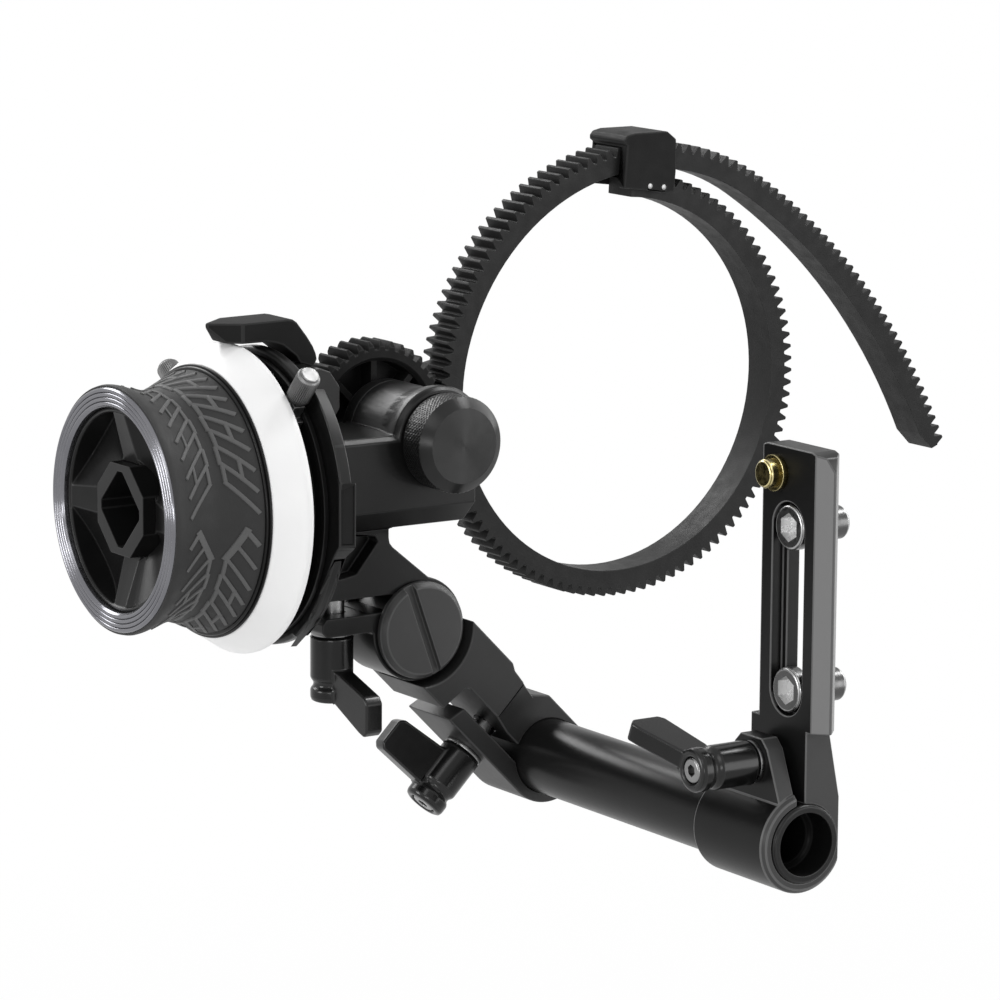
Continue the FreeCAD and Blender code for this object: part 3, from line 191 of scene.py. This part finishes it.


# A tone is the share of light that comes back, and a grain is in bumps per metre. An edge is the
# colour of marked faces, partly wear and partly painted highlight.
finishes = {
    "black_anodised": dark_metal("black_anodised", low=0.0055, high=0.007, rough=0.3, grain=5200,
                                 edge=0.018, Specular_IOR_Level=0.16),
    "black_painted": dark_metal("black_painted", low=0.004, high=0.006, rough=0.22, grain=1400,
                                edge=0.014, Specular_IOR_Level=0.26),
    "spun_black": spun_metal("spun_black", low=0.006, high=0.009, centre=GEAR, across=(1, 0, 1),
                             rough=0.34, Specular_IOR_Level=0.3),
    "polished_dark": spun_metal("polished_dark", low=(0.17, 0.17, 0.185), high=(0.2, 0.2, 0.215),
                                centre=WHEEL, across=(0, 1, 1), rough=0.22, Metallic=1.0),
    "grey_anodised": dark_metal("grey_anodised", low=0.015, high=0.019, rough=0.4, grain=5200,
                                edge=0.035, Specular_IOR_Level=0.2),
    "screw_anodised": dark_metal("screw_anodised", low=0.036, high=0.042, rough=0.4, grain=5200,
                                 edge=0.07, Specular_IOR_Level=0.2),
    # Its pale edge colour lights the plate's flanks and front: painted highlight and painted light.
    "plate_anodised": dark_metal("plate_anodised", low=0.0045, high=0.006, rough=0.32, grain=5200,
                                 edge=0.17, Specular_IOR_Level=0.14),
    "blasted_black": dark_metal("blasted_black", low=0.012, high=0.015, rough=0.55, grain=5200,
                                edge=0.03, Specular_IOR_Level=0.04),
    # Its pale edge colour lights the grip's ribs: a painted highlight.
    "grip_rubber": moulded("grip_rubber", low=0.024, high=0.030, rough=0.6, grain=3600,
                           depth=0.00003, edge=0.095, Specular_IOR_Level=0.2),
    "white_disc": moulded("white_disc", low=0.78, high=0.82, rough=0.38, grain=1800,
                          depth=0.00001, edge=0.82, Specular_IOR_Level=0.3),
    "black_plastic": moulded("black_plastic", low=0.009, high=0.013, rough=0.5, grain=2600,
                             depth=0.00002, edge=0.022, Specular_IOR_Level=0.06),
    "belt_rubber": moulded("belt_rubber", low=0.009, high=0.013, rough=0.5, grain=2800,
                           depth=0.00003, edge=0.02, Specular_IOR_Level=0.14),
    "steel": bright_metal("steel", tone=0.24, rough=0.3, turning=(1, 1, 1)),
    # The stop nuts' rounded edges take this pale edge colour: a painted highlight.
    "satin_steel": bright_metal("satin_steel", tone=0.17, rough=0.4, turning=(1, 1, 1), edge=0.5),
    # Its pale edge colour lights the cap screws' hexagon walls and rims: a painted highlight.
    "blued_steel": bright_metal("blued_steel", tone=0.1, rough=0.3, turning=(1, 1, 1), edge=0.6),
    "black_steel": dark_metal("black_steel", low=0.02, high=0.03, rough=0.3, grain=3000,
                              edge=0.08, Specular_IOR_Level=0.5),
    "brass": bright_metal("brass", tone=(0.2, 0.165, 0.07), rough=0.27, turning=(0.2, 1, 1),
                          edge=(0.6, 0.52, 0.27)),
    "nylon": moulded("nylon", low=(0.66, 0.65, 0.6), high=(0.7, 0.69, 0.64), rough=0.5, grain=900,
                     depth=0.00002, edge=0.7),
}


# ---------------------------------------------------------------- piece building
def finished(name, shape, node, crease=32, finish=None):
    """A bmesh in millimetres becomes the piece that stands for a CAD node on its body."""
    bmesh.ops.transform(shape, matrix=Matrix.Scale(MM, 4), verts=shape.verts)
    for face in shape.faces:
        face.smooth = True
    for edge in shape.edges:
        edge.smooth = edge.calc_face_angle(0.0) < radians(crease)
    mesh = bpy.data.meshes.new(name)
    shape.to_mesh(mesh)
    shape.free()
    piece = bpy.data.objects.new(name, mesh)
    scene.collection.objects.link(piece)
    mesh.materials.append(finishes[finish or slots[node]])
    shading = piece.modifiers.new("Shading", "WEIGHTED_NORMAL")
    shading.keep_sharp = True
    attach(piece, bodies[node])
    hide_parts(node)


def round_edges(shape, edges, width, segments=2):
    """Bevel some edges and mark the new faces for the paler edge colour, partly wear and partly
    painted highlight.
    """
    wear_and_highlight = shape.faces.layers.float.get("wear_and_highlight") or shape.faces.layers.float.new("wear_and_highlight")
    made = bmesh.ops.bevel(shape, geom=edges, offset=width, offset_type="OFFSET",
                           segments=segments, profile=0.5, affect="EDGES",
                           clamp_overlap=False, material=-1)
    for face in made["faces"]:
        face[wear_and_highlight] = 1.0


def sharp_edges(shape, angle=28):
    """The edges where two faces meet at more than an angle in degrees."""
    return [edge for edge in shape.edges
            if len(edge.link_faces) == 2 and edge.calc_face_angle(0.0) > radians(angle)]


def cad_shape(node):
    """A node's own solid as a clean bmesh in millimetres, its flat faces whole again."""
    same_place, nearly_flat = 0.003, radians(0.7)
    shape = bmesh.new()
    shape.from_mesh(nodes[node].data)
    bmesh.ops.transform(shape, matrix=Matrix.Scale(1 / MM, 4), verts=shape.verts)
    bmesh.ops.remove_doubles(shape, verts=shape.verts, dist=same_place)
    bmesh.ops.dissolve_limit(shape, angle_limit=nearly_flat, verts=shape.verts,
                             edges=shape.edges)
    return shape


def machined(node, width, segments=2, finish=None):
    """A CAD node with its edges broken, as a tumbled or deburred part has."""
    shape = cad_shape(node)
    round_edges(shape, sharp_edges(shape), width, segments)
    finished(node + "_piece", shape, node, finish=finish)


def turned(profile, centre, axis, steps):
    """Spin (radius, along) corners about an axis through a centre into a closed shape."""
    shape = bmesh.new()
    axis = Vector(axis).normalized()
    out = axis.orthogonal().normalized()
    corners = [shape.verts.new(centre + out * radius + axis * along) for radius, along in profile]
    edges = [shape.edges.new(pair) for pair in zip(corners, corners[1:])]
    if profile[0][0] > 0 or profile[-1][0] > 0:
        edges.append(shape.edges.new((corners[-1], corners[0])))
    bmesh.ops.spin(shape, geom=corners + edges, cent=centre, axis=axis, dvec=(0, 0, 0),
                   angle=2 * pi, steps=steps, use_merge=True, use_duplicate=False)
    bmesh.ops.remove_doubles(shape, verts=shape.verts, dist=0.0005)
    bmesh.ops.recalc_face_normals(shape, faces=shape.faces)
    return shape


def add_shape(shape, other):
    """Join another bmesh into this one."""
    mesh = bpy.data.meshes.new("joining")
    other.to_mesh(mesh)
    other.free()
    shape.from_mesh(mesh)
    bpy.data.meshes.remove(mesh)


# ---------------------------------------------------------------- handwheel
AXLE = (1, 0, 0)
# The rubber's waist: (along the axle, radius), from the rim to the end ring.
GRIP_LINE = [(-96.2, 23.5), (-95.9, 23.66), (-94.6, 23.5), (-93.1, 23.0), (-91.2, 22.3),
             (-89.2, 21.8), (-87.4, 21.65), (-85.3, 22.05), (-82.7, 23.05), (-80.3, 24.1),
             (-78.3, 25.0)]
GRIP_BORE = 19.45
# The ribs lie on the unrolled waist, where ARC is its mean radius and a turn is a length round it.
ARC = 23.0
# A full row would have this many lines, and the bare patch takes the place of three.
LINES = 39
BARE_LINES = 3
PITCH = 2 * pi / LINES * ARC
# Where the first line starts, and how far a line runs round on its way out.
FIRST = radians(19.1) * ARC
SLANT = radians(14.5) * ARC
# Each row runs from near the waist's middle to near its end.
WAIST = -86
ROW_START, ROW_END = 1.5, 6.6
SLOPE = SLANT / (ROW_END - ROW_START)


def grip_radius(along):
    """The waist's radius at a place along the axle, on a smooth curve through the mould's line."""
    spots = [spot for spot, _ in GRIP_LINE]
    radii = [radius for _, radius in GRIP_LINE]
    if along <= spots[0]:
        return radii[0]
    if along >= spots[-1]:
        return radii[-1]
    last = len(spots) - 1
    index = max(i for i in range(last) if spots[i] <= along)
    share = (along - spots[index]) / (spots[index + 1] - spots[index])
    before = radii[max(index - 1, 0)]
    after = radii[min(index + 2, last)]
    start, end = radii[index], radii[index + 1]
    rise, fall = (end - before) / 2, (after - start) / 2
    cubed, squared = share ** 3, share ** 2
    return ((2 * cubed - 3 * squared + 1) * start + (cubed - 2 * squared + share) * rise
            + (3 * squared - 2 * cubed) * end + (cubed - squared) * fall)


def raised_line(shape, start, end, width=0.74):
    """A rounded rib on the unrolled grip, from one (along, round) spot to another."""
    height, rounding = 0.6, 0.13
    start, end = Vector(start), Vector(end)
    run = end - start
    rib = bmesh.new()
    bmesh.ops.create_cube(rib, size=1.0)
    bmesh.ops.scale(rib, vec=(run.length + width, width, height), verts=rib.verts)
    long_edges = [edge for edge in rib.edges if edge.calc_length() > max(width, height) + 0.01]
    bmesh.ops.subdivide_edges(rib, edges=long_edges, cuts=3)
    top = [edge for edge in rib.edges if edge.calc_face_angle(0.0) > 1
           and all(vert.co.z > 0 for vert in edge.verts)]
    bmesh.ops.bevel(rib, geom=top, offset=rounding, offset_type="OFFSET", segments=1,
                    profile=0.5, affect="EDGES", material=-1)
    spin = Matrix.Rotation(atan2(run.y, run.x), 4, "Z")
    middle = (start + end) / 2
    bmesh.ops.transform(rib, matrix=Matrix.Translation((*middle, 0)) @ spin, verts=rib.verts)
    # Every face of a rib takes the pale edge colour: a painted highlight on the raised ribs.
    wear_and_highlight = rib.faces.layers.float.new("wear_and_highlight")
    for face in rib.faces:
        face[wear_and_highlight] = 1.0
    add_shape(shape, rib)


def rib_row(shape, side):
    """One row of slanted ribs, joined in pairs at their inner ends and by cross bars."""
    inner, outer = WAIST + side * ROW_START, WAIST + side * ROW_END
    lines = LINES - BARE_LINES
    gap, step, bar_reach, bar_width = 0.3, 0.28, 3.0, 0.66
    for line in range(lines):
        turn = FIRST + line * PITCH
        raised_line(shape, (inner, turn), (outer, turn - SLANT))
        if line == lines - 1:
            break
        joint = inner - side * step if line % 2 else inner
        raised_line(shape, (joint, turn + gap), (joint, turn + PITCH - gap))
        if line % 2:
            bar = inner + side * bar_reach
            low = turn - SLOPE * bar_reach
            raised_line(shape, (bar, low), (bar, low + PITCH), bar_width)


def rib_peak(shape, side):
    """The peak that starts a row below the bare patch, with one rib inside it."""
    inner, outer = WAIST + side * ROW_START, WAIST + side * ROW_END
    reach, rise, inner_width, outer_width = 3.1, 2.45, 1.3, 0.9
    last = FIRST + (LINES - BARE_LINES - 1) * PITCH - 2 * pi * ARC
    top = last + rise * PITCH - reach * SLOPE
    peak = (inner + side * reach, top)
    raised_line(shape, (inner, last + 0.2), peak, inner_width)
    raised_line(shape, peak, (outer, top - (ROW_END - ROW_START - reach) * SLOPE), outer_width)
    middle = (inner + side * reach / 2, (last + top) / 2)
    raised_line(shape, middle,
                (outer, middle[1] - (ROW_END - ROW_START - reach / 2) * SLOPE))


def grip_pattern():
    """Two rows of slanted ribs with closed inner ends, and a bare patch for the thumb."""
    shape = bmesh.new()
    for side in (1, -1):
        rib_row(shape, side)
        rib_peak(shape, side)
    for vert in shape.verts:
        along, turn, height = vert.co
        radius = grip_radius(along) + height
        angle = turn / ARC
        vert.co = Vector((along, WHEEL.y - radius * cos(angle), WHEEL.z + radius * sin(angle)))
    bmesh.ops.recalc_face_normals(shape, faces=shape.faces)
    return shape


def make_grip():
    """The rubber grip: a waisted sleeve with its raised ribs."""
    steps = 28
    start, end = GRIP_LINE[0][0], GRIP_LINE[-1][0]
    line = [start + (end - start) * step / steps for step in range(steps + 1)]
    waist = [(grip_radius(along), along) for along in line]
    shape = turned([(GRIP_BORE, start), *waist, (GRIP_BORE, end)], WHEEL, AXLE, steps=160)
    add_shape(shape, grip_pattern())
    finished("grip_with_ribs", shape, "wheel_grip", crease=50)


def make_rim():
    """The polished face ring: four fine beads side by side."""
    beads, first, width, face, height = 4, 19.62, 0.86, -96.42, 0.37
    profile = [(19.35, -95.5), (19.35, -96.2), (19.5, -96.4)]
    for bead in range(beads):
        start = first + bead * width
        profile += [(start + width * (1 - cos(turn)) / 2, face - height * sin(turn))
                    for turn in (0.1, 0.55, 1.1, pi / 2, pi - 1.1, pi - 0.55, pi - 0.1)]
    profile += [(23.14, -96.3), (23.14, -96.22), (19.4, -96.22), (19.4, -95.5)]
    shape = turned(profile, WHEEL, AXLE, steps=192)
    finished("ringed_rim", shape, "wheel_rim", crease=60)


def make_marking_disc():
    """The white disc that takes pencil marks, coned towards the hand and rounded at its edge."""
    profile = [(12.95, -77.2), (25.95, -77.2), (26.2, -77.12), (26.4, -76.9), (27.45, -75.2),
               (28.5, -73.45), (29.45, -72.05), (29.68, -71.65), (29.74, -71.3), (29.74, -70.75),
               (29.66, -70.55), (29.5, -70.45), (12.95, -70.45)]
    shape = turned(profile, WHEEL, AXLE, steps=192)
    finished("white_marking_disc", shape, "marking_disc", crease=40)


def make_end_ring():
    """The ring that holds the rubber against the disc, with a groove round it."""
    profile = [(19.35, -78.25), (25.2, -78.25), (25.45, -78.2), (25.6, -78.05), (25.62, -77.92),
               (25.42, -77.86), (25.42, -77.7), (25.95, -77.64), (26.08, -77.5), (26.0, -77.28),
               (19.35, -77.25)]
    shape = turned(profile, WHEEL, AXLE, steps=160)
    finished("grip_stop_ring", shape, "grip_end_ring", crease=40)


make_grip()
make_rim()
make_marking_disc()
make_end_ring()
machined("wheel_core", 0.2)
machined("wheel_hub", 0.2)
machined("stop_track", 0.15)


# ---------------------------------------------------------------- stops
def knurled(shape, centre, axis, ring, cuts, depth, low, high, diamond=0.0):
    """Press ridges into a turned band: straight ones, or crossed where diamond gives the lead."""
    inside, outside = ring
    axis = Vector(axis).normalized()
    across = axis.orthogonal().normalized()
    other = axis.cross(across)
    for vert in shape.verts:
        offset = vert.co - centre
        along = offset.dot(axis)
        radial = offset - axis * along
        if not (low - 0.001 <= along <= high + 0.001 and inside < radial.length < outside):
            continue
        angle = atan2(radial.dot(other), radial.dot(across))
        lead = diamond * (along - low)
        first = abs(sin((angle * cuts + lead) / 2))
        second = abs(sin((angle * cuts - lead) / 2))
        vert.co -= radial.normalized() * depth * (1 - min(first, second))


def make_stop_screw(side, angle):
    """A stop's thumbscrew, with a knurled head over its threaded end, and the stop's nut."""
    track, seat_radius = -68.1, 29.3
    crest, root, pitch, turns, thread_start = 1.2, 0.98, 0.5, 9, -4.9
    head, band_low, band_high, bands = 2.3, 0.4, 6.0, 6
    axis = Matrix.Rotation(radians(angle), 3, "X") @ Vector((0, 0, 1))
    centre = Vector((track, WHEEL.y, WHEEL.z)) + axis * seat_radius
    thread = []
    for turn in range(turns):
        along = thread_start + turn * pitch
        thread += [(crest, along), (root, along + pitch / 2)]
    band = [(head, band_low + (band_high - band_low) * step / bands)
            for step in range(1, bands + 1)]
    profile = [(0, -5), *thread, (crest, 0), (1.9, 0.02), (2.1, 0.12), (head, band_low), *band,
               (2.2, 6.25), (1.95, 6.5), (1.8, 6.55), (1.78, 6.8), (1.6, 6.98), (0, 7)]
    shape = turned(profile, centre, axis, steps=144)
    knurled(shape, centre, axis, ring=(2.25, 2.4), cuts=36, depth=0.16, low=band_low,
            high=band_high)
    finished(f"stop_thumbscrew_{side}", shape, f"stop_screw_{side}", crease=40,
             finish="satin_steel")
    machined(f"stop_nut_{side}", 0.12, finish="satin_steel")


make_stop_screw("right", 42.4)
make_stop_screw("left", -53.5)


# ---------------------------------------------------------------- gearbox, gear and knob
def make_knob():
    """The knob that locks the drive gear: a faced front, a chamfer and a diamond knurl."""
    axis, band_radius, band, start, end = (0, 1, 0), 9.45, 24, 73.7, 78.9
    profile = [(0, 71.9), (7.3, 71.9), (7.42, 71.97), (9.2, 73.3), (9.38, 73.5)]
    profile += [(band_radius, start + (end - start) * step / band) for step in range(band + 1)]
    profile += [(9.36, 79.1), (9.0, 79.6), (2.0, 79.6), (1.95, 74.5), (0, 74.5)]
    shape = turned(profile, GEAR, axis, steps=288)
    knurled(shape, GEAR, axis, ring=(9.42, 9.5), cuts=60, depth=0.2, low=start, high=end,
            diamond=7.0)
    finished("knurled_knob", shape, "gear_knob", crease=30, finish="spun_black")


def make_pointer():
    """The index that stands over the white disc, pointed in plan, with its tip cut under."""
    outline = [(-76.2, 92.2), (-76.2, 91.2), (-73.4, 88.35), (-65.4, 88.3), (-63.6, 87.95),
               (-62.0, 87.4), (-60.5, 86.3), (-59.0, 85.1), (-58.2, 83.75), (-55.2, 82.8),
               (-54.3, 84.2), (-54.6, 85.4), (-55.3, 86.9), (-56.5, 88.7), (-58.8, 91.6),
               (-59.7, 92.2), (-60.8, 92.4)]
    front, back = 84.4, 93.6
    # The two flanks of the point start here and lean in by this much.
    flank_start, lean, out = -70.8, -0.62, 0.785
    shape = bmesh.new()
    face = shape.faces.new([shape.verts.new((along, front, up)) for along, up in outline])
    grown = bmesh.ops.extrude_face_region(shape, geom=[face])["geom"]
    bmesh.ops.translate(shape, vec=(0, back - front, 0),
                        verts=[one for one in grown if isinstance(one, bmesh.types.BMVert)])
    for side, flank in ((-1, front), (1, back)):
        cut = bmesh.ops.bisect_plane(
            shape, geom=shape.verts[:] + shape.edges[:] + shape.faces[:], dist=0.001,
            plane_co=(flank_start, flank, 0), plane_no=Vector((lean, side * out, 0)),
            clear_outer=True)
        rim = [one for one in cut["geom_cut"] if isinstance(one, bmesh.types.BMEdge)]
        bmesh.ops.edgenet_fill(shape, edges=rim)
    bmesh.ops.recalc_face_normals(shape, faces=shape.faces)
    round_edges(shape, sharp_edges(shape, 25), 0.4, 2)
    finished("pointer", shape, "pointer_bracket", finish="blasted_black")


def make_housing():
    """The cast case, with the flange's outer edge drawn as a true arc and a framed pad on it."""
    shape = cad_shape("gearbox_housing")
    # The flange's faces along the axle, and where its pad has its middle and its top.
    low, middle, high = -65.6, -64, -62.4
    pad_middle, pad_top = 55, 65.3
    # For the two rims: the arc's radius, the pad's face and bottom, and the shift of the rest.
    front_rim, back_rim = (31.4, 58.9, 52.8, 3.0), (30.7, 57.4, 55.2, 1.9)

    def on_flange(vert):
        return low < vert.co.x < high and vert.co.y < 69.5 and vert.co.z > 51.5

    outline = [edge for edge in shape.edges if all(on_flange(vert) for vert in edge.verts)
               and abs(edge.verts[0].co.x - edge.verts[1].co.x) < 0.01]
    pad = {vert for face in shape.faces if abs(face.normal.y + 1) < 0.01
           and all(on_flange(vert) for vert in face.verts) for vert in face.verts}
    bmesh.ops.subdivide_edges(shape, cuts=6, edges=[edge for edge in outline
                                                    if not all(vert in pad for vert in edge.verts)])
    for vert in shape.verts:
        if not on_flange(vert):
            continue
        radius, pad_face, pad_bottom, shift = front_rim if vert.co.x < middle else back_rim
        if vert.co.z > pad_top:
            offset = Vector((0, vert.co.y, vert.co.z)) - WHEEL
            offset = offset.normalized() * radius
            vert.co.y, vert.co.z = WHEEL.y + offset.y, WHEEL.z + offset.z
        elif vert in pad:
            vert.co.y = pad_face
            if vert.co.z < pad_middle:
                vert.co.z = pad_bottom
        else:
            vert.co.y += shift
    round_edges(shape, sharp_edges(shape), 0.3, 3)
    label = max((face for face in shape.faces if face.normal.y < -0.8 and face.normal.x < -0.3
                 and all(low < vert.co.x < high for vert in face.verts)),
                key=lambda face: face.calc_area())
    bmesh.ops.inset_individual(shape, faces=[label], thickness=0.3, depth=0.0)
    bmesh.ops.inset_individual(shape, faces=[label], thickness=0.12, depth=-0.3)
    finished("gearbox_case", shape, "gearbox_housing")


make_knob()
make_housing()
machined("rear_cover", 0.25)
make_pointer()
for part, width in {"cover_screws": 0.1, "drive_gear": 0.13, "drive_gear_screw": 0.12,
                    "lens_belt": 0.16, "belt_buckle": 0.3, "buckle_pins": 0.1}.items():
    machined(part, width)
for part in ("wheel_bush", "output_bush_front", "output_bush_rear", "cross_bush_front",
             "cross_bush_rear", "wheel_shaft", "wheel_bevel_gear", "cross_shaft",
             "cross_bevel_gear", "cross_spur_gear", "output_shaft", "output_spur_gear"):
    machined(part, 0.06, 1)


# ---------------------------------------------------------------- arm, rod and plate
def make_side_plate():
    """The slotted rail, its slanted flanks painted pale as a painted highlight, its front faces
    painted lighter as painted light, its edges pale from wear and painted highlight.
    """
    rail_bottom, slot_front, slot_back = 22, 2, 12.5
    edge_wear_and_sheen, painted_front_light = 0.6, 0.25
    shape = cad_shape("side_plate")
    round_edges(shape, sharp_edges(shape), 0.25, 3)
    wear_and_highlight = shape.faces.layers.float["wear_and_highlight"]
    for face in shape.faces:
        spot, normal = face.calc_center_median(), face.normal
        face[wear_and_highlight] *= edge_wear_and_sheen
        slanted = abs(normal.z) < 0.2 and abs(normal.y) > 0.5
        # Slanted flanks outside the slot take the full edge colour, a painted highlight; front
        # faces take a share of it, painted light.
        if spot.z > rail_bottom and slanted:
            if abs(normal.x) > 0.4 and not slot_front < spot.y < slot_back:
                face[wear_and_highlight] = 1.0
        elif normal.y < -0.7 and not face[wear_and_highlight]:
            face[wear_and_highlight] = painted_front_light
    finished("slotted_plate", shape, "side_plate", finish="plate_anodised")


def make_plate_screw(place):
    """A dark cap screw whose hexagon walls are painted bright as a painted highlight."""
    node = f"plate_screw_{place}"
    hexagon, rim_depth, floor_depth, edge_wear_and_sheen = 2.7, 0.3, 4, 0.5
    shape = cad_shape(node)
    low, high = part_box(node)
    face_x = low.x / MM
    middle = (low + high) / 2 / MM

    def from_axis(spot):
        return Vector((spot.y - middle.y, spot.z - middle.z)).length

    round_edges(shape, [edge for edge in sharp_edges(shape)
                        if all(from_axis(vert.co) > hexagon + 0.1 for vert in edge.verts)], 0.2, 3)
    wear_and_highlight = shape.faces.layers.float["wear_and_highlight"]
    for face in shape.faces:
        spot = face.calc_center_median()
        face[wear_and_highlight] *= edge_wear_and_sheen
        # The hexagon's walls take the full edge colour: a painted highlight.
        if rim_depth < spot.x - face_x < floor_depth and from_axis(spot) < hexagon:
            face[wear_and_highlight] = 1.0
    finished(f"cap_screw_{place}", shape, node, finish="blued_steel")


def make_safety_pin():
    """The sprung pin, with a low head and a bright rim round its flat face, partly wear and partly
    painted highlight.
    """
    head_back, lowered = -3, 1.4
    shape = cad_shape("safety_pin")
    head = [vert for vert in shape.verts if vert.co.x < head_back]
    bmesh.ops.translate(shape, verts=head, vec=(lowered, 0, 0))
    round_edges(shape, sharp_edges(shape), 0.16, 3)
    finished("safety_pin_piece", shape, "safety_pin")


machined("arm", 0.35, 3, finish="grey_anodised")
machined("arm_stub", 0.2)
machined("pivot_screw", 0.2, finish="screw_anodised")
machined("rod", 0.2)
make_side_plate()
make_safety_pin()
machined("pin_collar", 0.1)
for place in ("upper", "lower"):
    make_plate_screw(place)
    machined(f"screw_collar_{place}", 0.08)
for place in ("gearbox", "arm", "plate"):
    machined(f"lever_handle_{place}", 0.45, 3)
    machined(f"lever_stud_{place}", 0.1)
    machined(f"lever_screw_{place}", 0.1)
    machined(f"lever_spring_{place}", 0.05, 1)


# ---------------------------------------------------------------- studio
def make_floor(height):
    """A pale floor that looks white to the eye and in reflections, and keeps a shadow."""
    shape = bmesh.new()
    bmesh.ops.create_grid(shape, x_segments=1, y_segments=1, size=12.0)
    bmesh.ops.translate(shape, vec=(0, 0, height), verts=shape.verts)
    mesh = bpy.data.meshes.new("floor")
    shape.to_mesh(mesh)
    shape.free()
    floor = bpy.data.objects.new("floor", mesh)
    scene.collection.objects.link(floor)
    recipe = Recipe("pale_floor", Roughness=0.9, Specular_IOR_Level=0.0)
    recipe.paint(recipe.cloudy(3, 0.62, 0.65))
    path = recipe.node("ShaderNodeLightPath")
    seen = recipe.combine("ShaderNodeMath", "MAXIMUM", path.outputs["Is Camera Ray"],
                          path.outputs["Is Glossy Ray"])
    reach = recipe.node("ShaderNodeVectorMath", {"operation": "LENGTH"}, Vector=recipe.spots)
    near, far, near_white = 0.25, 0.9, 0.9
    away = recipe.between(reach.outputs["Value"], near, far, near_white, 1.0)
    glow = recipe.node("ShaderNodeEmission", Color=(1, 1, 1, 1), Strength=1.0)
    mix = recipe.node("ShaderNodeMixShader")
    recipe.feed(mix.inputs[0], recipe.combine("ShaderNodeMath", "MULTIPLY", seen, away))
    recipe.feed(mix.inputs[1], recipe.shader.outputs[0])
    recipe.feed(mix.inputs[2], glow.outputs[0])
    out = next(one for one in recipe.tree.nodes if one.type == "OUTPUT_MATERIAL")
    recipe.feed(out.inputs["Surface"], mix.outputs[0])
    mesh.materials.append(recipe.material)


def make_world(fill):
    """White for the eye and for reflections; a plain level of light for everything else."""
    world = bpy.data.worlds.new("studio")
    scene.world = world
    world.use_nodes = True
    tree = world.node_tree
    path = tree.nodes.new("ShaderNodeLightPath")
    seen = path.outputs["Is Camera Ray"]
    for kind in ("Is Glossy Ray", "Is Transmission Ray"):
        either = tree.nodes.new("ShaderNodeMath")
        either.operation = "MAXIMUM"
        tree.links.new(seen, either.inputs[0])
        tree.links.new(path.outputs[kind], either.inputs[1])
        seen = either.outputs[0]
    level = tree.nodes.new("ShaderNodeMapRange")
    tree.links.new(seen, level.inputs["Value"])
    level.inputs["To Min"].default_value = fill
    level.inputs["To Max"].default_value = 1.0
    sky = tree.nodes["Background"]
    sky.inputs["Color"].default_value = (1, 1, 1, 1)
    tree.links.new(level.outputs[0], sky.inputs["Strength"])


def make_lamp(name, spot, size, watts):
    """A soft box in metres that faces the middle of the object."""
    middle = Vector((0.0, 0.06, 0.05))
    lamp = bpy.data.lights.new(name, "AREA")
    lamp.shape = "RECTANGLE"
    lamp.size, lamp.size_y = size
    lamp.energy = watts
    item = bpy.data.objects.new(name, lamp)
    scene.collection.objects.link(item)
    item.location = spot
    item.rotation_euler = (middle - Vector(spot)).to_track_quat("-Z", "Y").to_euler()


def make_camera():
    """A long lens that looks down a little from the front left."""
    azimuth, elevation, roll = radians(-33.832), radians(10.255), radians(0.42)
    place = Vector((-535.4, -696.0, 223.0)) * MM
    sensor, lens_per_sensor = 36.0, 4.86885
    back = Vector((sin(azimuth) * cos(elevation), -cos(azimuth) * cos(elevation), sin(elevation)))
    right = Vector((cos(azimuth), sin(azimuth), 0))
    up = back.cross(right)
    turned_right = cos(roll) * right + sin(roll) * up
    turned_up = -sin(roll) * right + cos(roll) * up
    camera = bpy.data.cameras.new("camera")
    camera.sensor_width = sensor
    camera.lens = sensor * lens_per_sensor
    camera.clip_start, camera.clip_end = 0.05, 60.0
    item = bpy.data.objects.new("camera", camera)
    scene.collection.objects.link(item)
    item.matrix_world = (Matrix.Translation(place)
                         @ Matrix((turned_right, turned_up, back)).transposed().to_4x4())
    scene.camera = item


# The arm swings below the rod, so the floor lies clear of its lowest reach.
FLOOR_HEIGHT = -0.22
make_floor(FLOOR_HEIGHT)
make_world(0.3)
make_lamp("key_softbox", (-0.75, -0.55, 0.95), (0.6, 0.6), 3.3)
make_lamp("top_softbox", (0.62, -0.12, 1.0), (0.34, 0.34), 6.5)
make_lamp("back_softbox", (-0.2, 1.1, 0.7), (0.9, 0.4), 8)
make_lamp("front_softbox", (0.7, -1.0, 0.15), (0.7, 0.7), 6)
make_lamp("low_strip", (-0.85, -0.85, 0.12), (0.5, 0.2), 3)
make_lamp("side_strip", (0.9, 0.1, 0.45), (0.25, 0.8), 4)
make_lamp("left_strip", (-0.95, 0.22, 0.2), (0.3, 0.36), 4)
make_camera()
scene.view_settings.view_transform = "Standard"
